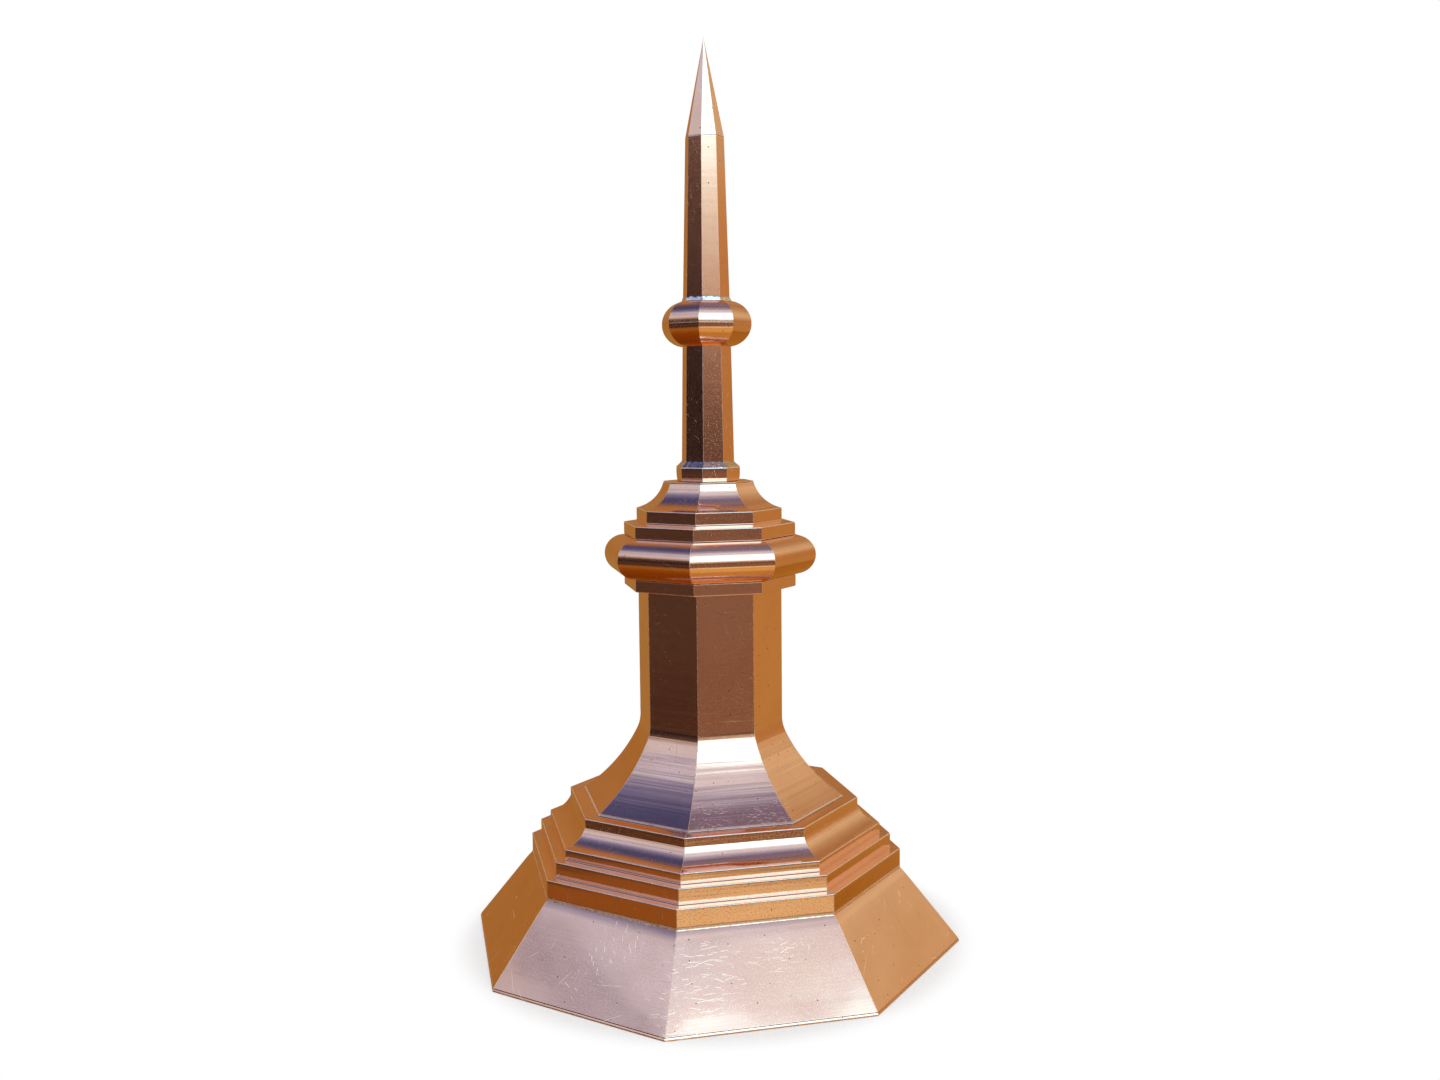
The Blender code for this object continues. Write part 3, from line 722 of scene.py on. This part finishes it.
def galvanised_finish(name):
    """Hot-dip zinc: spangles of different greys, a chalky bloom and fine pits."""
    g = Graph(bpy.data.materials.new(name))
    place = g.object_place()
    wobble = g.add("ShaderNodeTexNoise", {"Vector": place, "Scale": 60.0}).outputs["Color"]
    bent = g.add("ShaderNodeMix", {0: 0.012, 4: place, 5: wobble}, data_type="VECTOR").outputs[1]
    spangle = g.add("ShaderNodeTexVoronoi", {"Vector": bent, "Scale": 110.0})
    tone = g.add("ShaderNodeSeparateColor", {0: spangle.outputs["Color"]})
    bloom = g.between(g.cloud(place, 24.0, 4.0, 0.6), 0.45, 0.7)
    pits = g.cloud(place, 900.0, 3.0, 0.6)
    colour = g.mix(tone.outputs[0], ZINC_DARK, ZINC)
    colour = g.mix(g.times(bloom, 0.35), colour, ZINC_BLOOM)
    g.surface("Base Color", colour)
    rough = g.between(tone.outputs[1], 0.0, 1.0, 0.30, 0.50)
    g.surface("Roughness", g.calc("ADD", rough, g.times(bloom, 0.15)))
    g.surface("Metallic", g.calc("SUBTRACT", 0.6, g.times(bloom, 0.15)))
    g.relief((tone.outputs[0], SPANGLE_DEPTH), (pits, PIT_DEPTH))
    return g.owner


# ------------ the pieces
def add_piece(piece, slot, *nodes):
    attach(piece, "root")
    if nodes:
        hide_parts(*nodes)
    return piece


def refined_panels(stem, finish, columns, depth, wave, spacing, seed, edit):
    """The eight sides of one moulding, dished this deep in waves this long. Returns their outer points."""
    corners, outer_count = section(f"{stem}_front")
    if edit:
        corners, outer_count = edit(corners, outer_count)
    points = fine_section(corners, outer_count, spacing)
    for k, side in enumerate(SIDE_NAMES):
        name = f"{stem}_{side}"
        turn = k * 2 * HALF_SIDE
        shell = panel_shell(f"{name}_sheet", points, turn, finish, columns, depth, wave, seed + k)
        add_piece(shell, "copper_sheet", name)
    return [p for p in points if p["side"] > 0]


def with_hem_and_swell(corners, outer_count):
    """A rolled hem under a small step, and a slope that swells a little before its upper fold."""
    head, slope_top = corners[1], corners[2]
    slope = (slope_top - head).normalized()
    outward = Vector((slope.y, -slope.x))
    foot = Vector((head.x - 0.6 * MM, corners[0].y))
    bulge = Vector((head.x, foot.y + HEM_ROLL))
    hem = HEM_WIDTH * Vector((-math.sin(HEM_LEAN), math.cos(HEM_LEAN)))
    on_slope = head + 2.0 * MM * slope
    swell = slope_top - SWELL_REACH * slope + SWELL_HEIGHT * outward
    added = [foot.lerp(bulge, 0.5) + 0.15 * MM * Vector((1, -1)), bulge, bulge + hem, on_slope, swell]
    return [foot, *added, *corners[2:]], outer_count + len(added) - 1


def with_rounded_foot(corners, outer_count):
    """The collar's wall tucks in towards its foot."""
    foot, head = corners[0], corners[1]
    height = head.y - foot.y
    added = [Vector((foot.x - tuck * MM, foot.y + share * height)) for share, tuck in COLLAR_TUCK]
    return [*added, *corners[1:]], outer_count + len(added) - 1


def mitre_seams(name, outer, finish, inset):
    """The soldered line down each of the eight mitres of a moulding."""
    builder = ShellBuilder(0.0, goes_round=True)
    for k in range(SIDES):
        angle = HALF_SIDE * (2 * k + 1)
        path = []
        for point in outer:
            place = point["at"] - inset * point["normal"]
            reach = place.x / math.cos(HALF_SIDE)
            path.append(Vector((reach * math.sin(angle), -reach * math.cos(angle), place.y)))
        add_tube(builder, path, seed=k * 3.1)
    return add_piece(builder.finish(name, finish), "copper_sheet")


def beside(place, out, up, swell=0.0, lift=0.0):
    """(apothem, height, how uneven in depth, in height), from a place and measures in mm."""
    return (place[0] + out * MM, place[1] + up * MM, swell * MM, lift * MM)


def solder_band(name, profile, finish, seed):
    """A wiped band of solder. The points of its profile are made by beside."""
    builder = ShellBuilder(seed, goes_round=True)
    widest = max(point[0] for point in profile)
    steps = max(4, round(2 * widest * SIDE_TAN / SOLDER_STEP))
    rings = []
    for number, (apothem, height, swell, lift) in enumerate(profile):
        ring = []
        for k in range(SIDES * steps):
            side, i = divmod(k, steps)
            turn = Matrix.Rotation(2 * HALF_SIDE * side, 3, "Z")
            across = (2 * i / steps - 1) * SIDE_TAN
            key = turn @ Vector((across * widest, -widest, seed * MM)) / LUMP_SIZE
            deep = apothem + swell * noise.noise(key)
            place = Vector((across * deep, -deep, 0))
            place.z = height + lift * noise.noise(1.6 * key + Vector((0, 0, 9)))
            ring.append(builder.vert(turn @ place, 0.0, number * MM))
        rings.append(ring)
    builder.skin(rings, closed=True)
    return add_piece(builder.finish(name, finish), None)


def band_foot_solder(finish):
    """The line of solder that fills the angle between the skirt and the foot of the lowest band."""
    foot = section("base_moulding_front")[0][0]
    head, slope_top = section("skirt_panel_front")[0][1:3]
    slope = (slope_top - head) / (slope_top.y - head.y)
    low = head + (foot.y - 1.45 * MM - head.y) * slope
    profile = (
        beside(low, 0.10, 0.0, 0.08, 0.15),
        beside(foot, 0.10, 0.55, 0.08, 0.15),
        beside(foot, -0.45, 0.40),
        beside(low, -0.60, -0.25),
    )
    return solder_band("band_foot_solder", profile, finish, 5.0)


def collar_solder(finish):
    """Solder on the slope of the collar, wiped a little way up the spire."""
    corners, _ = section("spire_collar")
    edge, head = corners[1], corners[2]
    spire = (head.x - 1.4 * MM, head.y)
    profile = (
        beside(edge, -0.55, 0.10),
        beside(edge, -0.10, 0.35, 0.3, 0.3),
        beside(edge, -0.35, 1.20, 0.6, 0.5),
        beside(head, 1.70, -1.10, 0.8, 0.6),
        beside(spire, 1.30, 0.50, 0.8, 1.0),
        beside(spire, 0.55, 1.90, 0.4, 1.8),
        beside(spire, -0.50, 2.60, 0.0, 1.8),
        beside(spire, -0.50, -0.60),
    )
    return solder_band("collar_solder", profile, finish, 3.0)


def knop_solder(finish):
    """Solder where the upper spire comes out of the knop."""
    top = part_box("knop_upper_half")[1].z
    low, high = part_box("upper_spire")
    taper = (high.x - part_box("spire_point")[1].x) / (high.z - low.z)
    spire = (high.x - taper * (top - low.z), top)
    profile = (
        beside(spire, 2.30, -0.75),
        beside(spire, 2.20, 0.15, 0.5, 0.3),
        beside(spire, 1.60, 1.50, 0.7, 0.5),
        beside(spire, 1.00, 3.00, 0.6, 0.8),
        beside(spire, 0.55, 4.40, 0.4, 1.8),
        beside(spire, -0.50, 5.00, 0.0, 1.8),
        beside(spire, -0.50, -0.75),
    )
    return solder_band("knop_solder", profile, finish, 8.0)


def refined_shell(node, finish, seed, edit=None):
    """A one-piece octagonal part."""
    corners, outer_count = section(node)
    if edit:
        corners, outer_count = edit(corners, outer_count)
    points = fine_section(corners, outer_count, POINT_SPACING)
    return add_piece(octagon_shell(f"{node}_sheet", points, finish, seed), "copper_sheet", node)


def refined_point(node, finish):
    """The tip: a hollow pyramid with a slightly blunted end."""
    low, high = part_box(node)
    apothem = high.x
    height = high.z - low.z

    def on_slope(share, inwards=0.0):
        return Vector((max(apothem * (1 - share) - inwards, 0.2 * MM), low.z + height * share))

    outer = [on_slope(share) for share in (0, 0.2, 0.4, 0.6, 0.8, 0.93)]
    tip_base = high.z - TIP_RADIUS * height / apothem
    for degrees in (0, 35, 65, 90):
        angle = math.radians(degrees)
        rise = (high.z - tip_base) * math.sin(angle)
        outer.append(Vector((TIP_RADIUS * math.cos(angle), tip_base + rise)))
    inner = [on_slope(share, SHEET) for share in (0.9, 0.6, 0.3, 0)]
    builder = ShellBuilder(7.7, goes_round=True)
    loops = []
    for i, point in enumerate([*outer, *inner]):
        outside = i < len(outer)
        radius = ARRIS_RADIUS if outside else FOLD_INSIDE
        ring = octagon_ring(point.x, point.y, radius)
        loops.append([builder.vert(p[:3], p[3] if outside else 0.0, point.y) for p in ring])
    builder.skin(loops[: len(outer)])
    builder.skin(loops[len(outer) :])
    builder.skin([loops[-1], loops[0]])
    builder.face(loops[len(outer) - 1])
    builder.face(loops[len(outer)])
    return add_piece(builder.finish(f"{node}_sheet", finish), "copper_sheet", node)


def on_side(side, across, apothem, height):
    """A place on one side of the octagon."""
    turn = Matrix.Rotation(SIDE_NAMES.index(side) * 2 * HALF_SIDE, 3, "Z")
    return turn @ Vector((across, -apothem, height))


def skirt_scuff_glints():
    """Where the skirt was scratched, and how, with the scratches drawn as a painted glint: (places, lengths,
    tilt, drift of the tilt, strength).
    """
    low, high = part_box("skirt_panel_front")
    span = high.z - low.z
    foot = -low.y
    fall = foot + high.y

    def on_skirt(side, across, share):
        return on_side(side, across, foot - fall * share, share * span)

    level = (
        (on_skirt("front", -0.066, 0.50), 0.056),
        (on_skirt("front", -0.090, 0.20), 0.056),
        (on_skirt("front", 0.026, 0.62), 0.026),
    )
    steep = (
        (on_skirt("front_left", 0.038, 0.74), 0.034),
        (on_skirt("front_left", 0.016, 0.52), 0.036),
    )
    return ((level, (0.019, 0.012, 0.007), 0.0, 0.5, 1.0), (steep, (0.0062,), 1.57, 1.3, 0.8))


def flare_scuff_glints():
    """Fine level scratches at the foot of the flared column, drawn as a painted glint, given in the same
    form as for the skirt.
    """
    low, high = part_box("column_panel_front")
    foot = -low.y
    height = low.z + 0.03 * (high.z - low.z)
    places = [(on_side("front", across, 0.95 * foot, height), 0.042) for across in (0.035, -0.030)]
    return ((places, (0.0060, 0.0040), 0.0, 0.15, 0.4),)


def straight_part():
    """The heights over which the column's flare turns into its straight part."""
    low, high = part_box("column_panel_front")
    return (low.z + 0.40 * (high.z - low.z), low.z + 0.52 * (high.z - low.z))


def build_copper():
    skirt = copper_finish(
        "copper_skirt", rough=0.055, scuff_glint_strength=0.8, grain=0.35, rolled=0.06, clusters=0.58, lean=0.9,
        places=skirt_scuff_glints(),
    )
    sheet = copper_finish(
        "copper_mouldings", rough=0.035, scuff_glint_strength=0.25, grain=0.5, rolled=0.14, clusters=0.56
    )
    column = copper_finish(
        "copper_column", rough=0.035, scuff_glint_strength=0.22, grain=0.5, rolled=1.0, clusters=0.56,
        places=flare_scuff_glints(), straight=straight_part(),
    )
    spire = copper_finish(
        "copper_spire", rough=0.045, scuff_glint_strength=0.36, grain=0.4, rolled=0.06, clusters=0.46, lean=1.4
    )
    # The knop's folds get little of the lightening, rubbing and painted highlight.
    knop = copper_finish(
        "copper_knop", rough=0.04, scuff_glint_strength=0.2, grain=0.5, rolled=0.2, clusters=0.56, worn_highlight_share=0.15
    )
    seam = solder_finish("solder_on_copper", SEAM, SEAM_DULL)
    # Columns of faces, depth of the dishing, length of its waves and spacing of the points, in mm.
    mouldings = (
        ("skirt_panel", skirt, 34, 0.75, 150, 8),
        ("base_moulding", sheet, 22, 0.10, 80, 6),
        ("column_panel", column, 14, 0.16, 100, 9),
        ("torus_bead", sheet, 12, 0.05, 50, 8),
        ("cap_moulding", sheet, 12, 0.05, 50, 8),
    )
    for number, (stem, finish, columns, depth, wave, spacing) in enumerate(mouldings, 1):
        skirted = stem == "skirt_panel"
        outer = refined_panels(
            stem, finish, columns, depth * MM, wave * MM, spacing * MM, 10 * number + 0.37,
            with_hem_and_swell if skirted else None,
        )
        inset = SKIRT_SEAM_INSET if skirted else SEAM_INSET
        mitre_seams(stem.split("_")[0] + "_mitre_solder", outer, seam, inset)
    for k, node in enumerate(("neck_band", "cap_plate")):
        refined_shell(node, column, 60 + k)
    for k, node in enumerate(("spire_collar", "lower_spire", "upper_spire")):
        refined_shell(node, spire, 70 + k, edit=with_rounded_foot if node == "spire_collar" else None)
    for k, node in enumerate(("knop_lower_half", "knop_upper_half")):
        refined_shell(node, knop, 80 + k)
    refined_point("spire_point", spire)
    bright = solder_finish("bright_solder", SILVER, SILVER_DULL, rough=0.15)
    collar_solder(bright)
    knop_solder(bright)
    band_foot_solder(seam)


def build_steel():
    steel = galvanised_finish("galvanised_steel")
    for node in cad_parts.values():
        if node.hide_render:
            continue
        node.data.materials.clear()
        node.data.materials.append(steel)
        for slot in node.material_slots:
            slot.link = "OBJECT"
            slot.material = steel


# ------------ stage, light and camera
WHITE = (1.0, 1.0, 1.0)
FLOOR_RADIUS = 12.0
SHADOW_EDGE = (0.94, 1.08)  # where the floor turns white, in shares of the skirt's corner reach


def build_floor():
    """A pale floor. It fades to the white of the background, and it keeps a soft shadow by the skirt."""
    low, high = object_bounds()
    bpy.ops.mesh.primitive_circle_add(
        vertices=96, radius=FLOOR_RADIUS, fill_type="NGON", location=(0, 0, low.z)
    )
    floor = bpy.context.object
    floor.name = "floor"
    g = Graph(bpy.data.materials.new("pale_floor"))
    g.tree.nodes.remove(g.shader)
    out = g.tree.nodes["Material Output"]
    paper = g.add("ShaderNodeBsdfDiffuse", {"Color": (0.8, 0.8, 0.8)}).outputs[0]
    glow = g.add("ShaderNodeEmission", {"Color": WHITE, "Strength": 1.0}).outputs[0]
    place = g.object_place()
    reach = g.vector("LENGTH", place)["Value"]
    corner = high.x / math.cos(HALF_SIDE)
    share = g.between(reach, SHADOW_EDGE[0] * corner, SHADOW_EDGE[1] * corner)
    g.put(out.inputs["Surface"], g.mix_shaders(share, paper, glow))
    floor.data.materials.append(g.owner)
    floor.visible_glossy = False
    floor.visible_diffuse = False


# What the polished copper mirrors. Each eighth of the studio is a wall: rows of (height in degrees,
# red, green, blue), from below to above. A colour ramp holds 32 rows at most.
FRONT_WALL = (
    (-82, 0.44, 0.11, 0.01), (-66, 0.6, 0.3, 0.08), (-54, 0.56, 0.24, 0.04), (-42, 0.7, 0.42, 0.11),
    (-36, 0.75, 0.49, 0.16), (-30, 0.66, 0.36, 0.09), (-24, 0.85, 0.64, 0.32), (-19.6, 0.8, 0.62, 0.31),
    (-18.9, 0.235, 0.12, 0.06), (-14, 0.222, 0.118, 0.064), (-8, 0.25, 0.14, 0.084), (-3, 0.18, 0.1, 0.06),
    (0, 0.125, 0.07, 0.045), (2, 0.19, 0.115, 0.07), (4, 0.3, 0.18, 0.12), (6, 0.47, 0.32, 0.215),
    (8, 0.58, 0.45, 0.32), (10, 0.71, 0.66, 0.52), (12, 0.93, 1.0, 0.86), (14.2, 1.3, 1.7, 1.7),
    (16, 1.5, 2.35, 2.6), (43.3, 1.5, 2.35, 2.6), (45.1, 0.95, 1.12, 1.24), (47, 0.86, 0.98, 1.09),
    (48.8, 0.8, 0.93, 1.05), (50.5, 0.67, 0.8, 0.95), (52.5, 0.68, 0.8, 0.95), (55, 0.83, 0.93, 1.07),
    (58, 0.7, 0.84, 1.02), (62, 0.49, 0.56, 0.78), (70, 0.46, 0.49, 0.6), (78, 0.2, 0.185, 0.29),
)
FRONT_RIGHT_WALL = (
    (-60, 0.5, 0.25, 0.05), (-26, 0.6, 0.36, 0.12), (-19.6, 0.58, 0.38, 0.16), (-18.8, 0.35, 0.2, 0.07),
    (-10, 0.38, 0.2, 0.08), (0, 0.33, 0.17, 0.065), (8, 0.56, 0.38, 0.22), (14, 0.8, 0.75, 0.55),
    (20, 0.95, 1.0, 0.85), (34, 0.75, 0.7, 0.6), (40, 0.66, 0.56, 0.44), (50, 0.55, 0.5, 0.5),
    (60, 0.42, 0.45, 0.58), (66, 0.21, 0.205, 0.36), (72, 0.19, 0.17, 0.28),
)
RIGHT_WALL = (
    (-60, 0.3, 0.1, 0.01), (-45, 0.35, 0.13, 0.012), (-24, 0.4, 0.17, 0.024), (-21, 0.35, 0.14, 0.009),
    (-17, 0.5, 0.27, 0.065), (-10, 0.51, 0.272, 0.069), (0, 0.475, 0.237, 0.066), (6, 0.5, 0.255, 0.077),
    (10, 0.558, 0.3, 0.098), (12, 0.62, 0.42, 0.19), (15, 0.66, 0.485, 0.245), (16.8, 0.75, 0.59, 0.335),
    (20, 0.75, 0.59, 0.33), (26, 0.72, 0.56, 0.3), (28.5, 0.67, 0.5, 0.26), (31, 0.58, 0.41, 0.21),
    (34, 0.52, 0.34, 0.15), (45, 0.45, 0.28, 0.12), (60, 0.3, 0.2, 0.15), (70, 0.211, 0.179, 0.217),
    (90, 0.2, 0.175, 0.25),
)
BACK_RIGHT_WALL = (
    (-60, 0.2, 0.06, 0.005), (-30, 0.41, 0.183, 0.025), (-10, 0.42, 0.2, 0.045), (0, 0.45, 0.24, 0.07),
    (12, 0.363, 0.168, 0.047), (24, 0.46, 0.25, 0.092), (48, 0.44, 0.235, 0.107), (60, 0.4, 0.224, 0.112),
    (66, 0.31, 0.186, 0.21), (74, 0.2, 0.17, 0.22),
)
BACK_WALL = (
    (-60, 0.14, 0.03, 0.001), (-45, 0.2, 0.05, 0.004), (-20, 0.36, 0.166, 0.027), (-10, 0.394, 0.2, 0.05),
    (0, 0.39, 0.182, 0.036), (12, 0.405, 0.2, 0.057), (20, 0.45, 0.23, 0.06), (34, 0.42, 0.215, 0.06),
    (51, 0.42, 0.2, 0.055), (56, 0.2, 0.134, 0.122), (70, 0.15, 0.13, 0.2),
)
BACK_LEFT_WALL = (
    (-60, 0.19, 0.045, 0.001), (-45, 0.25, 0.064, 0.002), (-20, 0.33, 0.13, 0.02), (0, 0.37, 0.16, 0.028),
    (20, 0.4, 0.22, 0.08), (34, 0.4, 0.3, 0.25), (40, 0.22, 0.24, 0.4), (48, 0.115, 0.133, 0.305),
    (54, 0.07, 0.088, 0.235), (60, 0.05, 0.056, 0.15), (75, 0.08, 0.08, 0.17),
)
LEFT_WALL = (
    (-60, 0.11, 0.022, 0.001), (-48, 0.22, 0.055, 0.001), (-36, 0.26, 0.08, 0.005),
    (-26, 0.32, 0.149, 0.024), (-22, 0.283, 0.099, 0.014), (-19.5, 0.285, 0.1, 0.015),
    (-18.8, 0.079, 0.041, 0.021), (-14, 0.059, 0.026, 0.016), (-10, 0.078, 0.043, 0.024),
    (-6, 0.078, 0.042, 0.026), (-2, 0.042, 0.024, 0.018), (0, 0.026, 0.015, 0.012),
    (3, 0.026, 0.016, 0.012), (6, 0.05, 0.03, 0.027), (10, 0.08, 0.045, 0.033), (14, 0.13, 0.08, 0.058),
    (16, 0.28, 0.22, 0.2), (19, 0.48, 0.43, 0.4), (22, 0.57, 0.56, 0.57), (26, 0.66, 0.71, 0.79),
    (30, 0.7, 0.77, 0.87), (33.0, 0.64, 0.72, 0.87), (34.8, 0.36, 0.4, 0.56), (36.6, 0.6, 0.69, 0.87),
    (39, 0.7, 0.79, 0.96), (41, 0.56, 0.65, 0.84), (44, 0.48, 0.56, 0.77), (46.5, 0.27, 0.3, 0.52),
    (51, 0.22, 0.243, 0.44), (55, 0.1, 0.11, 0.26), (60, 0.057, 0.064, 0.18), (75, 0.06, 0.065, 0.18),
)
FRONT_LEFT_WALL = (
    (-60, 0.35, 0.15, 0.03), (-26, 0.5, 0.3, 0.12), (-19.6, 0.5, 0.3, 0.12), (-18.8, 0.15, 0.07, 0.04),
    (-10, 0.16, 0.09, 0.055), (0, 0.1, 0.06, 0.04), (8, 0.3, 0.24, 0.18), (14, 0.6, 0.6, 0.55),
    (20, 1.0, 1.3, 1.4), (40, 0.95, 1.2, 1.4), (46, 0.5, 0.55, 0.7), (60, 0.4, 0.45, 0.6),
    (72, 0.2, 0.2, 0.33), (90, 0.15, 0.14, 0.25),
)
WALLS = (
    (-78, LEFT_WALL), (-33, FRONT_LEFT_WALL), (12, FRONT_WALL), (57, FRONT_RIGHT_WALL),
    (102, RIGHT_WALL), (147, BACK_RIGHT_WALL), (192, BACK_WALL), (237, BACK_LEFT_WALL),
)
BRIGHTEST = 2.6
PAPER_LIGHT = 1.25
STREAKS = (2.0, 2.0, 34.0)  # how often the walls are streaked, across and up
STREAK_SHIFT = 0.045  # how far a streak is drawn from the wall above or below it
STREAK_TONE = 0.16  # how much lighter or darker a streak is
STREAKED = (0.57, 0.61)  # streaks come in here, in shares of the way from straight down to straight up


def build_world():
    """White to the camera and to the floor; eight walls of soft boxes and warm boards to the metal."""
    world = bpy.data.worlds.new("studio")
    bpy.context.scene.world = world
    g = Graph(world)
    g.tree.nodes.clear()
    direction = g.add("ShaderNodeTexCoord").outputs["Generated"]
    height = g.add("ShaderNodeSeparateXYZ", {0: direction}).outputs["Z"]
    share = g.calc("MULTIPLY_ADD", g.calc("ARCSINE", height), 1 / math.pi, 0.5)
    streaks = g.cloud(g.vector("MULTIPLY", direction, STREAKS)[0], 1.0, 3.0)
    above = g.between(share, *STREAKED)
    shift = g.calc("MULTIPLY_ADD", streaks, STREAK_SHIFT, -0.5 * STREAK_SHIFT)
    share = g.calc("MULTIPLY_ADD", shift, above, share)
    tones = {0: streaks, 1: 0.3, 2: 0.7, 3: -STREAK_TONE, 4: STREAK_TONE}
    tone = g.calc("MULTIPLY_ADD", g.add("ShaderNodeMapRange", tones).outputs[0], above, 1.0)
    level = g.vector("NORMALIZE", g.vector("MULTIPLY", direction, (1.0, 1.0, 0.0))[0])[0]
    total = None
    for azimuth, wall in WALLS:
        t = math.radians(azimuth)
        dot = g.vector("DOT_PRODUCT", level, (math.sin(t), -math.cos(t), 0.0))["Value"]
        # The weight is cos(2 angle) squared, so it is 0 at the next wall, and two neighbours add up to 1.
        square = g.calc("POWER", g.calc("MAXIMUM", dot, math.sqrt(0.5)), 2.0)
        weight = g.calc("POWER", g.calc("MULTIPLY_ADD", square, 2.0, -1.0), 2.0)
        ramp = g.add("ShaderNodeValToRGB", {0: share})
        stops = ramp.color_ramp.elements
        while len(stops) > 1:
            stops.remove(stops[-1])
        stops[0].position = wall[0][0] / 180 + 0.5
        for i, (degrees, *colour) in enumerate(wall):
            stop = stops[0] if i == 0 else stops.new(degrees / 180 + 0.5)
            stop.color = (*[c / BRIGHTEST for c in colour], 1.0)
        inputs = {0: ramp.outputs[0], 3: g.times(weight, tone)}
        lit = g.add("ShaderNodeVectorMath", inputs, operation="SCALE").outputs[0]
        total = lit if total is None else g.vector("ADD", total, lit)[0]
    mirrored, paper, backdrop = (
        g.add("ShaderNodeBackground", {"Color": colour, "Strength": strength}).outputs[0]
        for colour, strength in ((total, BRIGHTEST), (WHITE, PAPER_LIGHT), (WHITE, 1.0))
    )
    ray = g.add("ShaderNodeLightPath").outputs
    unseen = g.mix_shaders(ray["Is Glossy Ray"], paper, mirrored)
    surface = g.mix_shaders(ray["Is Camera Ray"], unseen, backdrop)
    g.add("ShaderNodeOutputWorld", {"Surface": surface})


CAMERA_BEARING = -12.85  # degrees from the front, towards the right
CAMERA_DISTANCE = 1.7365  # from the axis
CAMERA_HEIGHT = 0.7023  # above the drip edge
CAMERA_HEADING = -13.339  # degrees, as are pitch and roll
CAMERA_PITCH = -5.645
CAMERA_ROLL = -0.567
CAMERA_LENS = 32.985  # mm
CAMERA_SENSOR = 36.0


def build_camera():
    data = bpy.data.cameras.new("camera")
    data.sensor_width = CAMERA_SENSOR
    data.lens = CAMERA_LENS
    data.clip_start = 0.05
    data.clip_end = 100.0
    camera = bpy.data.objects.new("camera", data)
    bpy.context.scene.collection.objects.link(camera)
    bearing = math.radians(CAMERA_BEARING)
    stand = Vector((math.sin(bearing), -math.cos(bearing), 0)) * CAMERA_DISTANCE
    stand.z = CAMERA_HEIGHT
    turn = Matrix.Rotation(math.radians(CAMERA_HEADING), 4, "Z")
    tilt = Matrix.Rotation(math.radians(90 + CAMERA_PITCH), 4, "X")
    roll = Matrix.Rotation(math.radians(CAMERA_ROLL), 4, "Z")
    camera.matrix_world = Matrix.Translation(stand) @ turn @ tilt @ roll
    bpy.context.scene.camera = camera
    bpy.context.scene.view_settings.view_transform = "Standard"


build_camera()
build_copper()
build_steel()
build_world()
build_floor()
